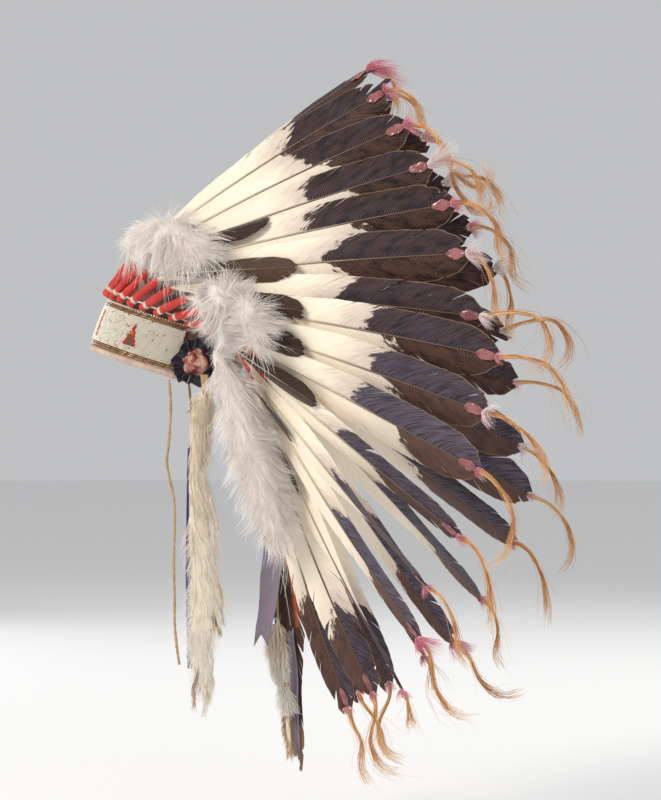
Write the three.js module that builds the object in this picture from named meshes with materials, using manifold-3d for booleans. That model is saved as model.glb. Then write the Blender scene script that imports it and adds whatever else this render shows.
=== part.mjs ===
// Feathered headdress: a felt cap with a beaded brow band, a fan of 31 tail feathers in
// red wool wraps, down at their feet, horsehair at their tips, and drops below the rim.
// Millimetres. +Z is up, the wearer faces -Y and the wearer's left is +X. The origin is
// the inside top of the cap, where the crown of a head meets it.
import * as THREE from 'three';
import Module from 'manifold-3d';
import { mergeVertices } from 'three/addons/utils/BufferGeometryUtils.js';

const wasm = await Module();
wasm.setup();

// Driving dimensions: the cap, in a head frame that is pitched back
const headPitch = 17.5;      // degrees that the rim rises towards the brow
const capHalfLength = 87;    // outer half axes of the cap at its rim
const capHalfWidth = 74;
const capDepth = 103.5;      // rim to the inside of the crown
const capWall = 2;
const capSquareness = 3;     // exponent of the dome's profile, 2 would be a half ellipse
const gap = 0.35;            // between two pieces that touch

// The brow band and its edgings, as angles from the brow and heights above the rim
const bandEnd = 108;
const bandBottom = 5.5;
const bandTop = 47.5;
const bandThickness = 2.6;
const bandGap = 1;           // between the cap's felt and the stiff band
const edgingRadius = 2.3;
const edgingBead = 12;       // length of one tube bead
const rollRadius = 4;

// The ring of feathers
const feathersASide = 15;    // and one more at the brow
const ringHalfLength = 91;
const ringHalfWidth = 78;
const ringHeight = 56.5;     // above the rim
const wrapLength = 52;
const wrapRadius = 5;
const quillRadius = 2.2;
const vaneHalfWidth = 30;
const vaneBow = 9;           // how far a shaft bulges outwards halfway
const vaneCurl = 260;        // a vane's edges bend in by its half width squared over this
const shaftRoot = 1.6;       // a vane's half thickness at its shaft, foot and tip
const shaftTip = 0.9;
const quillGap = 1.5;        // from a wrap's end to its vane
const hairRadius = 3.2;

// One row for each feather, from the brow to the nape. Degrees and millimetres: the
// wrap's rise and splay, the shaft's rise, splay and length, what the right side adds to
// its rise and length, the vane's width as a share, its roll about the shaft at its foot
// and at its tip, above 0 with the rear edge outwards, and the horsehair lock: its length,
// and its heading above the horizontal at its root, at each third and at its end.
const columns = ['wrapRise', 'wrapSplay', 'rise', 'splay', 'length', 'rightRise',
  'rightLength', 'width', 'footRoll', 'tipRoll', 'hair', 'root', 'third', 'twoThirds',
  'end'];
const featherRows = [
  [55, 0, 37.5, 0, 352, 0, 0, 0.85, -15, -27, 70, 10, -50, -85, -110],
  [52, 3, 32, 3.5, 354, 1, -4, 1, -20, -20, 62, 15, -35, -70, -85],
  [48, 7, 25, 6.5, 354, 0, 4, 1, -20, -20, 150, 0, -70, -35, 120],
  [44, 12, 17.5, 9, 360, 0, -6, 1, -20, -20, 100, 20, -20, -75, -95],
  [40, 18, 11, 11, 368, -1, -8, 1, -20, -20, 108, 5, -40, -90, -30],
  [35, 23, 3.5, 12.5, 367, 0, 4, 1, -20, -20, 90, -30, -65, -85, -50],
  [29, 27, -6, 14, 370, -1, -5, 1, -20, -20, 130, 15, -5, -80, -150],
  [21, 30, -11, 15.5, 377, -4, -3, 1, -20, -20, 112, 5, -15, -60, -85],
  [11, 31, -19.5, 17.5, 361, -6, 26, 1, -20, -20, 105, -10, -35, -60, -95],
  [-3, 31, -28, 19, 359, -4, 46, 1, -20, -20, 120, -30, -60, -95, -140],
  [-20, 29, -38.5, 20, 360, -1, 44, 0.8, -10, -45, 115, -30, -65, -85, -100],
  [-37, 24, -48.5, 20.5, 354, -2, 50, 0.72, 22, -50, 95, -25, -60, -85, -50],
  [-52, 18, -55, 18, 373, -3, 36, 0.62, 30, -8, 110, -50, -85, -50, 5],
  [-66, 13, -62, 13.5, 397, 0, -12, 0.6, 30, -32, 40, -60, -75, -85, -80],
  [-76, 10, -67.5, 9.5, 378, -1, 6, 0.66, 30, 62, 105, -75, -105, -60, -5],
  [-82, 7, -73, 5, 382, 0, -8, 0.64, 30, 62, 85, -80, -60, -95, -60],
].map((row) => Object.fromEntries(columns.map((name, k) => [name, row[k]])));

// A vane's outline: half width as a share, against the share of the shaft's length
const vaneOutline = [[0, 0.08], [0.06, 0.14], [0.13, 0.34], [0.27, 0.68], [0.5, 0.93],
  [0.74, 1], [0.9, 0.93], [0.965, 0.66], [1, 0.2]];
const hairSteps = 8;

const radians = THREE.MathUtils.degToRad;
const { lerp, smoothstep, clamp } = THREE.MathUtils;
const model = new THREE.Group();

function material(color, roughness, metalness = 0) {
  return new THREE.MeshStandardMaterial({ color, roughness, metalness });
}
const felt = material(0x6b4a38, 0.95);
const beadWhite = material(0xe8dfc8, 0.35);
const beadAmber = material(0x7d5a2c, 0.3);
const hide = material(0xc8a58c, 0.85);
const thongHide = material(0xa98355, 0.8);
const redWool = material(0xc8372b, 0.95);
const vane = material(0x6a5648, 0.6);
const down = material(0xd9d0cc, 0.98);
const brownVane = material(0x5a3a26, 0.7);
const pleatedCloth = material(0x1c1226, 0.6);
const foil = material(0xc0665a, 0.25, 0.9);
const ermineFur = material(0xdfd0ab, 0.95);
const ribbonSilk = material(0x8c7c92, 0.5);
const blueCloth = material(0x4a4790, 0.9);

function addPiece(name, geometry, finish) {
  const mesh = new THREE.Mesh(geometry, finish);
  mesh.name = name;
  model.add(mesh);
}

// A closed body through rings that all have the same number of points. Open rings of
// stations get end caps about their own middle; a loop joins its last ring to its first.
// Both faces of a thin section are split along the same diagonals, so they never cross.
function loft(rings, isLoop = false) {
  const count = rings[0].length;
  const points = rings.flat();
  const index = [];
  const lastRing = isLoop ? rings.length : rings.length - 1;
  for (let r = 0; r < lastRing; r += 1) {
    const here = r * count;
    const next = ((r + 1) % rings.length) * count;
    for (let k = 0; k < count; k += 1) {
      const k1 = (k + 1) % count;
      if (k < count / 2) {
        index.push(here + k, here + k1, next + k1, here + k, next + k1, next + k);
      } else {
        index.push(here + k, here + k1, next + k, here + k1, next + k1, next + k);
      }
    }
  }
  if (!isLoop) {
    for (const [ring, flip] of [[0, true], [rings.length - 1, false]]) {
      const middle = new THREE.Vector3();
      rings[ring].forEach((point) => middle.addScaledVector(point, 1 / count));
      points.push(middle);
      for (let k = 0; k < count; k += 1) {
        const edge = [ring * count + k, ring * count + (k + 1) % count];
        if (flip) edge.reverse();
        index.push(edge[0], edge[1], points.length - 1);
      }
    }
  }
  return facingOut(points, index);
}

// The faces point outwards when the volume that they close counts as positive
function facingOut(points, index) {
  let volume = 0;
  for (let t = 0; t < index.length; t += 3) {
    const [a, b, c] = [points[index[t]], points[index[t + 1]], points[index[t + 2]]];
    volume += a.dot(new THREE.Vector3().crossVectors(b, c));
  }
  const geometry = new THREE.BufferGeometry().setFromPoints(points);
  geometry.setIndex(volume > 0 ? index : index.slice().reverse());
  geometry.computeVertexNormals();
  return geometry;
}

function solidOf(geometry) {
  const bare = geometry.clone();
  bare.deleteAttribute('normal');
  bare.deleteAttribute('uv');
  const merged = mergeVertices(bare, 1e-4);
  return new wasm.Manifold(new wasm.Mesh({
    numProp: 3,
    vertProperties: new Float32Array(merged.attributes.position.array),
    triVerts: new Uint32Array(merged.index.array),
  }));
}

function joined(geometries) {
  const whole = geometries.map(solidOf).reduce((sum, solid) => sum.add(solid));
  const mesh = whole.getMesh();
  const geometry = new THREE.BufferGeometry();
  geometry.setAttribute('position', new THREE.BufferAttribute(mesh.vertProperties, 3));
  geometry.setIndex(new THREE.BufferAttribute(mesh.triVerts, 1));
  geometry.computeVertexNormals();
  return geometry;
}

// From the head frame, whose up is the cap's own axis, to the model's frame
const headTurn = new THREE.Matrix4().makeRotationX(-radians(headPitch));
function onHead(x, y, z) {
  return new THREE.Vector3(x, y, z).applyMatrix4(headTurn);
}

// The cap's outer radius at a height above the rim, as a share of its radius there
function domeShare(height) {
  const share = clamp(height / (capDepth + capWall), 0, 1);
  return (1 - share ** capSquareness) ** (1 / capSquareness);
}

// A point off the cap's outer surface: angle from the brow, height above the rim
function offCap(angle, height, out) {
  const turn = radians(angle);
  const share = domeShare(height);
  const x = (capHalfWidth * share + out) * Math.sin(turn);
  const y = -(capHalfLength * share + out) * Math.cos(turn);
  return onHead(x, y, height - capDepth);
}

function heading(rise, splay) {
  const level = Math.cos(radians(splay));
  return new THREE.Vector3(Math.sin(radians(splay)), level * Math.cos(radians(rise)),
    level * Math.sin(radians(rise)));
}

function mirrored(point) {
  return new THREE.Vector3(-point.x, point.y, point.z);
}

// The cap: an outer and an inner dome joined at the rim
function capGeometry() {
  const rows = 6;
  const profile = [];
  for (let k = 0; k <= rows; k += 1) {
    const height = (capDepth + capWall) * Math.cos((k / rows) * Math.PI / 2);
    profile.push(new THREE.Vector2(domeShare(height), height));
  }
  const inner = profile.map((point) => new THREE.Vector2(
    point.x * (1 - capWall / capHalfLength), point.y * capDepth / (capDepth + capWall)));
  const geometry = new THREE.LatheGeometry([...inner, ...profile.reverse()], 24);
  geometry.rotateX(Math.PI / 2);
  geometry.scale(capHalfWidth, capHalfLength, 1);
  geometry.translate(0, 0, -capDepth);
  geometry.applyMatrix4(headTurn);
  return geometry;
}

function bandGeometry() {
  const steps = 26;
  const heights = [bandBottom, (bandBottom + bandTop) / 2, bandTop];
  const rings = [];
  for (let k = 0; k <= steps; k += 1) {
    const angle = lerp(-bandEnd, bandEnd, k / steps);
    const outer = heights.map((height) => offCap(angle, height, bandGap + bandThickness));
    const inner = heights.map((height) => offCap(angle, height, bandGap)).reverse();
    rings.push([...outer, ...inner]);
  }
  return loft(rings);
}

// A string of tube beads along the band: fat rings with a neck between two beads
function edgingGeometry(height) {
  const arc = 2 * radians(bandEnd) * (capHalfLength + capHalfWidth) / 2;
  const beads = Math.round(arc / edgingBead);
  const rings = [];
  const addRing = (share, radius) => {
    const angle = lerp(-bandEnd, bandEnd, share);
    const ring = [];
    for (let k = 0; k < 6; k += 1) {
      const turn = (k / 6) * 2 * Math.PI;
      ring.push(offCap(angle, height + radius * Math.sin(turn),
        gap + edgingRadius + radius * Math.cos(turn)));
    }
    rings.push(ring);
  };
  for (let bead = 0; bead < beads; bead += 1) {
    addRing((bead + 0.04) / beads, edgingRadius * 0.55);
    addRing((bead + 0.14) / beads, edgingRadius);
    addRing((bead + 0.9) / beads, edgingRadius);
  }
  addRing(1, edgingRadius * 0.55);
  return loft(rings);
}

function rollGeometry() {
  const steps = 40;
  const rings = [];
  for (let k = 0; k < steps; k += 1) {
    const ring = [];
    for (let m = 0; m < 7; m += 1) {
      const turn = (m / 7) * 2 * Math.PI;
      ring.push(offCap(360 * k / steps, 0, 0).add(onHead(
        rollRadius * Math.cos(turn) * Math.sin(2 * Math.PI * k / steps),
        -rollRadius * Math.cos(turn) * Math.cos(2 * Math.PI * k / steps),
        rollRadius * Math.sin(turn) - rollRadius - gap)));
    }
    rings.push(ring);
  }
  return loft(rings, true);
}

// The feathers of one side, worked out as the left side's and mirrored at the end
const ringTurn = 360 / (2 * feathersASide + 1);

function makeFan(side) {
  const isRight = side === 'right';
  const rows = featherRows.map((row) => ({ ...row,
    rise: row.rise + (isRight ? row.rightRise : 0),
    length: row.length + (isRight ? row.rightLength : 0) }));
  const shafts = rows.map((row, number) => {
    const turn = radians(number * ringTurn);
    const foot = onHead(ringHalfWidth * Math.sin(turn), -ringHalfLength * Math.cos(turn),
      ringHeight - capDepth);
    const wrapAxis = heading(row.wrapRise, row.wrapSplay);
    const start = foot.clone().addScaledVector(wrapAxis, wrapLength + quillGap);
    const axis = heading(row.rise, row.splay);
    const tip = start.clone().addScaledVector(axis, row.length);
    return { foot, wrapAxis, start, axis, tip };
  });

  // A shaft by its number, which may lie across the middle on the other side
  function shaftAt(number) {
    if (number >= 0 && number <= feathersASide) return shafts[number];
    const { start, axis } = shafts[number < 0 ? -number : 2 * feathersASide + 1 - number];
    return { start: mirrored(start), axis: mirrored(axis) };
  }

  // Where another shaft meets the plane across this one at a share of its length
  function crossing(number, share, otherNumber) {
    const { start, axis } = shafts[number];
    const other = shaftAt(otherNumber);
    const reach = start.clone().addScaledVector(axis, share * rows[number].length)
      .sub(other.start).dot(axis) / other.axis.dot(axis);
    return other.start.clone().addScaledVector(other.axis, reach);
  }

  // Across a vane, from its front edge to its rear edge, and out of its face
  function vaneFrame(number, share) {
    const { axis } = shafts[number];
    const across = crossing(number, share, number + 1).sub(crossing(number, share, number - 1));
    across.addScaledVector(axis, -across.dot(axis)).normalize();
    return { across, out: new THREE.Vector3().crossVectors(across, axis) };
  }

  // A place on the fan: row number, distance past the wrap and height above. A number
  // between two rows is a place between two feathers.
  function onFan(place, distance, height) {
    const low = clamp(Math.floor(place), 0, feathersASide - 1);
    const spots = [low, low + 1].map((number) => {
      const { start, axis } = shafts[number];
      const share = clamp(distance / rows[number].length, 0, 1);
      const bulge = 4 * vaneBow * share * (1 - share);
      return start.clone().addScaledVector(axis, distance)
        .addScaledVector(vaneFrame(number, share).out, height + bulge);
    });
    return spots[0].lerp(spots[1], place - low);
  }

  const placed = (rings) => (isRight ? rings.map((ring) => ring.map(mirrored)) : rings);
  return { isRight, rows, shafts, vaneFrame, onFan, placed };
}

function hairHeading(row, share) {
  const stops = [row.root, row.third, row.twoThirds, row.end];
  const at = clamp(share * 3, 0, 2.999);
  const low = Math.floor(at);
  return lerp(stops[low], stops[low + 1], smoothstep(at - low, 0, 1));
}

// A flat diamond section: thin at both edges, thick at the shaft, edges bent inwards
function vaneRing(middle, across, out, half, shaft) {
  const bend = half * half / vaneCurl;
  const at = (side, up) => middle.clone().addScaledVector(across, side)
    .addScaledVector(out, up);
  const flat = Math.min(shaftRoot, half * 0.6);
  return [at(-half, -bend), at(-flat, shaft), at(flat, shaft), at(half, -bend),
    at(flat, -shaft), at(-flat, -shaft)];
}

// The right side's locks hang a little differently, by a slow wave along the row
function lockChange(number, isRight) {
  return isRight ? 16 * Math.sin(2.1 * number + 1) : 0;
}

function featherGeometry(number, fan) {
  const row = fan.rows[number];
  const { start, axis } = fan.shafts[number];
  const rings = [];
  let last = null;
  for (const [share, widthShare] of vaneOutline) {
    const { across, out } = fan.vaneFrame(number, share);
    const roll = lerp(row.footRoll, row.tipRoll, smoothstep(share, 0.2, 0.8));
    const turned = across.clone().applyAxisAngle(axis, -radians(roll));
    const face = new THREE.Vector3().crossVectors(turned, axis);
    const middle = start.clone().addScaledVector(axis, share * row.length)
      .addScaledVector(out, 4 * vaneBow * share * (1 - share));
    const half = Math.max(quillRadius, widthShare * row.width * vaneHalfWidth);
    rings.push(vaneRing(middle, turned, face, half, lerp(shaftRoot, shaftTip, share)));
    last = { middle, turned };
  }
  const step = row.hair / hairSteps;
  const point = last.middle.clone();
  for (let k = 0; k < hairSteps; k += 1) {
    const share = (k + 0.5) / hairSteps;
    const along = heading(hairHeading(row, share) + lockChange(number, fan.isRight),
      row.splay * (1 - share));
    point.addScaledVector(along, step);
    const across = last.turned.clone().addScaledVector(along, -last.turned.dot(along));
    across.normalize();
    const out = new THREE.Vector3().crossVectors(across, along);
    const radius = hairRadius * lerp(1, 0.3, share);
    rings.push(vaneRing(point, across, out, radius, radius * 0.8));
  }
  return loft(fan.placed(rings));
}

// Wool wraps of one side, joined along the lacing that runs through them
function wrapGeometry(number, fan) {
  const profile = [[0, 0], [0.75, 0], [1, 0.08], [1, 0.92], [0.75, 1], [0, 1]];
  const geometry = new THREE.LatheGeometry(profile.map(([out, along]) => new THREE.Vector2(
    out * wrapRadius, along * wrapLength)), 6);
  const { foot, wrapAxis } = fan.shafts[number];
  const axis = fan.isRight ? mirrored(wrapAxis) : wrapAxis;
  const place = fan.isRight ? mirrored(foot) : foot;
  geometry.applyQuaternion(new THREE.Quaternion()
    .setFromUnitVectors(new THREE.Vector3(0, 1, 0), axis));
  geometry.translate(place.x, place.y, place.z);
  return geometry;
}

function tube(points, radius, sides, steps) {
  const section = new THREE.Shape();
  for (let k = 0; k < sides; k += 1) {
    const turn = (k / sides) * 2 * Math.PI;
    const [x, y] = [radius * Math.cos(turn), radius * Math.sin(turn)];
    if (k === 0) section.moveTo(x, y);
    else section.lineTo(x, y);
  }
  const extrudePath = new THREE.CatmullRomCurve3(points, false, 'centripetal');
  return new THREE.ExtrudeGeometry(section, { steps, bevelEnabled: false, extrudePath });
}

function wrapsGeometry(fan) {
  const first = fan.isRight ? 1 : 0;
  const pieces = [];
  const lacing = [];
  for (let number = first; number <= feathersASide; number += 1) {
    const { foot, wrapAxis } = fan.shafts[number];
    pieces.push(wrapGeometry(number, fan));
    lacing.push(foot.clone().addScaledVector(wrapAxis, 10));
  }
  pieces.push(tube(fan.placed([lacing])[0], 1.2, 4, lacing.length + 4));
  return joined(pieces);
}

// Short brown feathers over the vanes' feet, joined along their own thread. Columns: row
// place, where the tip lies past the wrap, and half width.
const covertRows = [[1.6, 70, 9], [3.4, 166, 17], [5.2, 172, 15], [6.7, 158, 15],
  [8.1, 142, 14], [9.5, 152, 13], [11.2, 118, 9], [12.6, 150, 8]];
const covertFoot = 22;
const covertHeight = 10.5;

function covertGeometry([place, tipDistance, half], fan) {
  const outline = [[0, 0.12], [0.2, 0.5], [0.55, 1], [0.85, 0.72], [1, 0.1]];
  const axis = fan.onFan(place, tipDistance, 0).sub(fan.onFan(place, covertFoot, 0));
  axis.normalize();
  const across = fan.onFan(place + 0.5, 60, 0).sub(fan.onFan(place - 0.5, 60, 0));
  across.addScaledVector(axis, -across.dot(axis)).normalize();
  const out = new THREE.Vector3().crossVectors(across, axis);
  const rings = outline.map(([share, width]) => {
    const middle = fan.onFan(place, lerp(covertFoot, tipDistance, share), covertHeight);
    return vaneRing(middle, across, out, Math.max(1.5, half * width), shaftTip);
  });
  return loft(fan.placed(rings));
}

function covertsGeometry(fan) {
  const thread = [];
  const [first, last] = [covertRows[0][0] - 0.1, covertRows.at(-1)[0] + 0.1];
  for (let k = 0; k <= 22; k += 1) {
    thread.push(fan.onFan(lerp(first, last, k / 22), covertFoot + 3, covertHeight));
  }
  const pieces = covertRows.map((row) => covertGeometry(row, fan));
  return joined([...pieces, tube(fan.placed([thread])[0], 1.1, 4, 18)]);
}

// Lobes of down. Columns: row place, distance past the wrap, height above the fan, half
// length along the shafts and half thickness.
const fluffLobes = {
  front: [[1.3, 24, 24, 20, 9], [2.1, 34, 26, 36, 13], [3.2, 46, 29, 48, 16],
    [4.3, 52, 30, 50, 16], [5.2, 50, 27, 30, 9]],
  middle: [[5.9, 66, 27, 24, 8], [6.5, 76, 31, 42, 16], [7.2, 78, 32, 50, 18],
    [7.9, 72, 31, 44, 17], [8.5, 64, 27, 26, 8]],
};
// The long plumes at the back hang along the shafts instead: here the two last columns
// are the half width across the shafts and the half thickness
const backPlumes = [[9.6, -2, 27, 12, 7], [10.3, 18, 32, 27, 16], [11.3, 46, 38, 30, 23],
  [12.3, 84, 40, 27, 25], [13.1, 128, 40, 25, 24], [13.7, 168, 35, 19, 19],
  [14.1, 204, 28, 8, 7]];

function ellipseRing(middle, broad, thick, halfBroad, halfThick, count = 9) {
  const ring = [];
  for (let k = 0; k < count; k += 1) {
    const turn = (k / count) * 2 * Math.PI;
    ring.push(middle.clone().addScaledVector(broad, halfBroad * Math.cos(turn))
      .addScaledVector(thick, halfThick * Math.sin(turn)));
  }
  return ring;
}

function fluffGeometry(rows, isAlongShafts, fan) {
  const middles = rows.map(([place, distance, height]) => fan.onFan(place, distance, height));
  const rings = rows.map(([place, distance, , broadHalf, thickHalf], k) => {
    const flat = fan.onFan(place, distance, 0);
    const out = fan.onFan(place, distance, 10).sub(flat).normalize();
    const ahead = middles[Math.min(k + 1, rows.length - 1)].clone()
      .sub(middles[Math.max(k - 1, 0)]).normalize();
    const broad = isAlongShafts ? new THREE.Vector3().crossVectors(out, ahead).normalize()
      : fan.onFan(place, distance + 10, 0).sub(flat).normalize();
    return ellipseRing(middles[k], broad, out, broadHalf, thickHalf);
  });
  return loft(fan.placed(rings));
}

// The rosettes: a pleated disc and a crumpled dome at its middle
const rosetteAngle = 120;
const rosetteHeight = 17.5;
const rosetteRadius = 27;
const rosettePleats = 13;

function rosetteFrame(side) {
  const seat = offCap(side * rosetteAngle, rosetteHeight, 0);
  const ahead = offCap(side * rosetteAngle + 2, rosetteHeight, 0)
    .sub(offCap(side * rosetteAngle - 2, rosetteHeight, 0)).normalize();
  const up = onHead(0, 0, 1);
  const out = new THREE.Vector3().crossVectors(ahead, up).normalize();
  if (out.x * side < 0) out.negate();
  return { seat, ahead, up, out };
}

function rosetteGeometry(side) {
  const { seat, ahead, up, out } = rosetteFrame(side);
  const steps = rosettePleats * 3;
  const profile = [[0.42, 4.2, 0], [0.72, 4.6, 0.8], [1, 6.2, 2], [1, 8.2, 2],
    [0.72, 8.4, 0.9], [0.42, 7, 0]];
  const rings = [];
  for (let k = 0; k < steps; k += 1) {
    const turn = (k / steps) * 2 * Math.PI;
    const pleat = Math.cos(turn * rosettePleats);
    rings.push(profile.map(([share, height, wave]) => {
      const radius = rosetteRadius * share * (1 + 0.05 * Math.cos(turn * 3 + 1));
      return seat.clone().addScaledVector(ahead, radius * Math.cos(turn))
        .addScaledVector(up, radius * Math.sin(turn))
        .addScaledVector(out, height + bandThickness + wave * pleat);
    }));
  }
  return loft(rings, true);
}

function rosetteCentreGeometry(side) {
  const { seat, ahead, up, out } = rosetteFrame(side);
  const radius = rosetteRadius * 0.56;
  const geometry = new THREE.SphereGeometry(1, 16, 8);
  const place = geometry.attributes.position;
  const point = new THREE.Vector3();
  for (let k = 0; k < place.count; k += 1) {
    point.fromBufferAttribute(place, k);
    const crumple = 1 + 0.07 * Math.sin(7 * point.x + 3) * Math.sin(6 * point.z + 5 * point.y);
    const depth = point.y > 0 ? 7 : 1.4;
    const world = seat.clone().addScaledVector(ahead, radius * crumple * point.x)
      .addScaledVector(up, radius * crumple * point.z)
      .addScaledVector(out, bandThickness + 12.4 + depth * crumple * point.y);
    place.setXYZ(k, world.x, world.y, world.z);
  }
  const bare = geometry.clone();
  bare.deleteAttribute('normal');
  bare.deleteAttribute('uv');
  const merged = mergeVertices(bare, 1e-3);
  const points = [];
  for (let k = 0; k < merged.attributes.position.count; k += 1) {
    points.push(new THREE.Vector3().fromBufferAttribute(merged.attributes.position, k));
  }
  const index = [...merged.index.array].filter((value, k, all) => {
    const first = k - (k % 3);
    const [a, b, c] = [all[first], all[first + 1], all[first + 2]];
    return a !== b && b !== c && a !== c;
  });
  return facingOut(points, index);
}

// Hanging pieces: a flat or oval body down a route. Columns: across (towards the back),
// up, half width and half thickness; the first row is the place where it is tied.
function hangingGeometry(x, rows, side = 1, count = 8) {
  return loft(rows.map(([y, z, half, thick]) => ellipseRing(
    new THREE.Vector3(side * x, y, z), new THREE.Vector3(0, 1, 0),
    new THREE.Vector3(1, 0, 0), half, thick, count)));
}

const ermineRows = [[28, -129, 3, 3], [26, -140, 11, 7], [24, -163, 12, 7],
  [20, -203, 8.5, 6], [19, -238, 9, 6], [23, -273, 13, 7], [26, -313, 14, 8],
  [27, -353, 15, 8], [30, -381, 19, 7], [24, -413, 13, 7], [26, -453, 12, 6],
  [31, -483, 10, 7], [33, -500, 3, 2]];

// The right side's drop hangs closer in and further forward than the left one
const ermineHang = { left: [77, 0], right: [66, -21] };
const stripInside = 12;

function ermineGeometry(side) {
  const [x, ahead] = side > 0 ? ermineHang.left : ermineHang.right;
  return hangingGeometry(x, ermineRows.map(([y, ...rest]) => [y + ahead, ...rest]), side);
}

function blueStripGeometry(side) {
  const [x, ahead] = side > 0 ? ermineHang.left : ermineHang.right;
  return hangingGeometry(x - stripInside,
    blueStripRows.map(([y, ...rest]) => [y + ahead, ...rest]), side);
}

const blueStripRows = [[9, -193, 3.5, 0.6], [7.5, -273, 3.5, 0.6], [7, -353, 3.5, 0.6],
  [9, -443, 3.5, 0.6]];
const thongRoutes = {
  left: [[-10, -116], [-9, -127], [-8, -143], [-8.5, -162], [-10.5, -190],
    [-12.5, -209], [-9.5, -226], [-4, -254], [-3.5, -285], [-4.5, -322], [-3.5, -361],
    [-3.5, -389], [-1, -417], [2, -437]],
  right: [[-19, -118], [-17.5, -134], [-16, -151], [-14, -176], [-10, -193],
    [-15, -212], [-11, -223], [-12, -270], [-12, -322], [-12, -361], [-11.5, -424]],
};
const thongRadius = 1.6;
const thongOut = 81;

function thongGeometry(side) {
  const route = side > 0 ? thongRoutes.left : thongRoutes.right;
  const points = route.map(([y, z]) => new THREE.Vector3(side * thongOut, y, z));
  return tube(points, thongRadius, 8, 30);
}

// The drops at the nape hang by their middles' x
const ribbonOneRows = [[87, -225, 6, 0.8], [89, -255, 8, 0.8], [98.5, -303, 12, 0.8],
  [94, -343, 11.5, 0.8], [90, -383, 10, 0.8], [83, -409, 3, 0.8]];
const ribbonTwoRows = [[88, -229, 3, 0.8], [103, -303, 2.5, 0.8], [115, -403, 3, 0.8],
  [118, -453, 5.5, 0.8], [119, -493, 5.5, 0.8], [123, -550, 1.5, 0.8]];
const tailRows = [[90, -243, 2.5, 2.5], [101, -333, 2.5, 2.5], [103, -388, 4, 4],
  [100, -403, 10, 5.5], [101, -428, 14, 6], [104, -458, 13, 6], [109, -488, 12, 6],
  [112, -503, 8, 5], [114, -523, 5, 4], [116, -544, 2, 2]];
const rearFeatherRows = [[85, -238, 3, 1.2], [91, -293, 9, 1.2], [105, -343, 15, 1.2],
  [114, -393, 18, 1.2], [118, -433, 12, 1.2], [122, -483, 6, 1.2], [126, -533, 5, 1.2],
  [127, -568, 1.5, 1.2]];

addPiece('cap', capGeometry(), felt);
addPiece('brow_band', bandGeometry(), beadWhite);
addPiece('upper_edging', edgingGeometry(bandTop + edgingRadius + gap), beadAmber);
addPiece('lower_edging', edgingGeometry(bandBottom - edgingRadius - gap), beadAmber);
addPiece('rim_roll', rollGeometry(), hide);

for (const label of ['left', 'right']) {
  const fan = makeFan(label);
  const side = fan.isRight ? -1 : 1;
  addPiece(`wraps_${label}`, wrapsGeometry(fan), redWool);
  addPiece(`coverts_${label}`, covertsGeometry(fan), brownVane);
  addPiece(`fluff_front_${label}`, fluffGeometry(fluffLobes.front, false, fan), down);
  addPiece(`fluff_middle_${label}`, fluffGeometry(fluffLobes.middle, false, fan), down);
  addPiece(`fluff_back_${label}`, fluffGeometry(backPlumes, true, fan), down);
  addPiece(`rosette_${label}`, rosetteGeometry(side), pleatedCloth);
  addPiece(`rosette_centre_${label}`, rosetteCentreGeometry(side), foil);
  addPiece(`ermine_${label}`, ermineGeometry(side), ermineFur);
  addPiece(`blue_strip_${label}`, blueStripGeometry(side), blueCloth);
  addPiece(`thong_${label}`, thongGeometry(side), thongHide);
  if (!fan.isRight) addPiece('feather_centre', featherGeometry(0, fan), vane);
  for (let number = 1; number <= feathersASide; number += 1) {
    const digits = String(number).padStart(2, '0');
    addPiece(`feather_${label}_${digits}`, featherGeometry(number, fan), vane);
  }
}

addPiece('ribbon_broad', hangingGeometry(9, ribbonOneRows), ribbonSilk);
addPiece('ribbon_narrow', hangingGeometry(-6, ribbonTwoRows), ribbonSilk);
addPiece('fur_tail', hangingGeometry(1.5, tailRows), ermineFur);
addPiece('hanging_feather', hangingGeometry(-9.5, rearFeatherRows), brownVane);

export default model;
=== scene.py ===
import math

import bmesh
import bpy
import numpy as np
from mathutils import Matrix, Vector


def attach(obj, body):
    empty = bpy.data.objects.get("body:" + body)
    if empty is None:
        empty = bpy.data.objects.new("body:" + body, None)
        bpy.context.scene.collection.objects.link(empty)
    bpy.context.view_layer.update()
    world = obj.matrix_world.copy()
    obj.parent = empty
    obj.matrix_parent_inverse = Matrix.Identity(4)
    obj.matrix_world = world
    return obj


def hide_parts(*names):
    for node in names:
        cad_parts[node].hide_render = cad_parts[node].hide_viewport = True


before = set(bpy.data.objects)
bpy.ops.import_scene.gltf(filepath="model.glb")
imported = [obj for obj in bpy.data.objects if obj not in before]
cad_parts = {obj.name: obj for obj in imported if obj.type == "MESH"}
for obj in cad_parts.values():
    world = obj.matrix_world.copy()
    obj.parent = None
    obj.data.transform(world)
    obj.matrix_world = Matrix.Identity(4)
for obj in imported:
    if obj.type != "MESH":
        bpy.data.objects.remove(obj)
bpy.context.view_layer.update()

# Sizes below are in millimetres and degrees, as a maker writes them down
mm = 0.001
fullTurn = 2 * math.pi
flip = np.array((-1.0, 1, 1))
sides = {"left": 1, "right": -1}

lookout = {"azimuth": 98, "distance": 3.0, "target": (0, 0.1627, -0.1386), "lens": 117.39,
           "sensorWidth": 36}
studio = {"floorHeight": -0.66, "floorRadius": 14, "floorColour": (0.90, 0.90, 0.90),
          "skyColour": (0.66, 0.665, 0.675), "skyStrength": 0.8}
lamps = {  # place, size, power and colour
    "key": ((2.3, -1.7, 1.7), 0.9, 74, (1, 0.965, 0.91)),
    "fill": ((2.4, 2.4, 0.5), 2.2, 16, (0.93, 0.95, 1)),
    "rear": ((-2.4, 1.2, 1.8), 1.6, 34, (1, 0.98, 0.95)),
    "rearLow": ((-2.2, -2.0, 0.3), 1.8, 16, (1, 1, 1)),
}


# Shapes worked out in numbers: shares of a length, directions, curves and slow waves
def shares(count):
    return np.linspace(0, 1, count)


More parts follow.
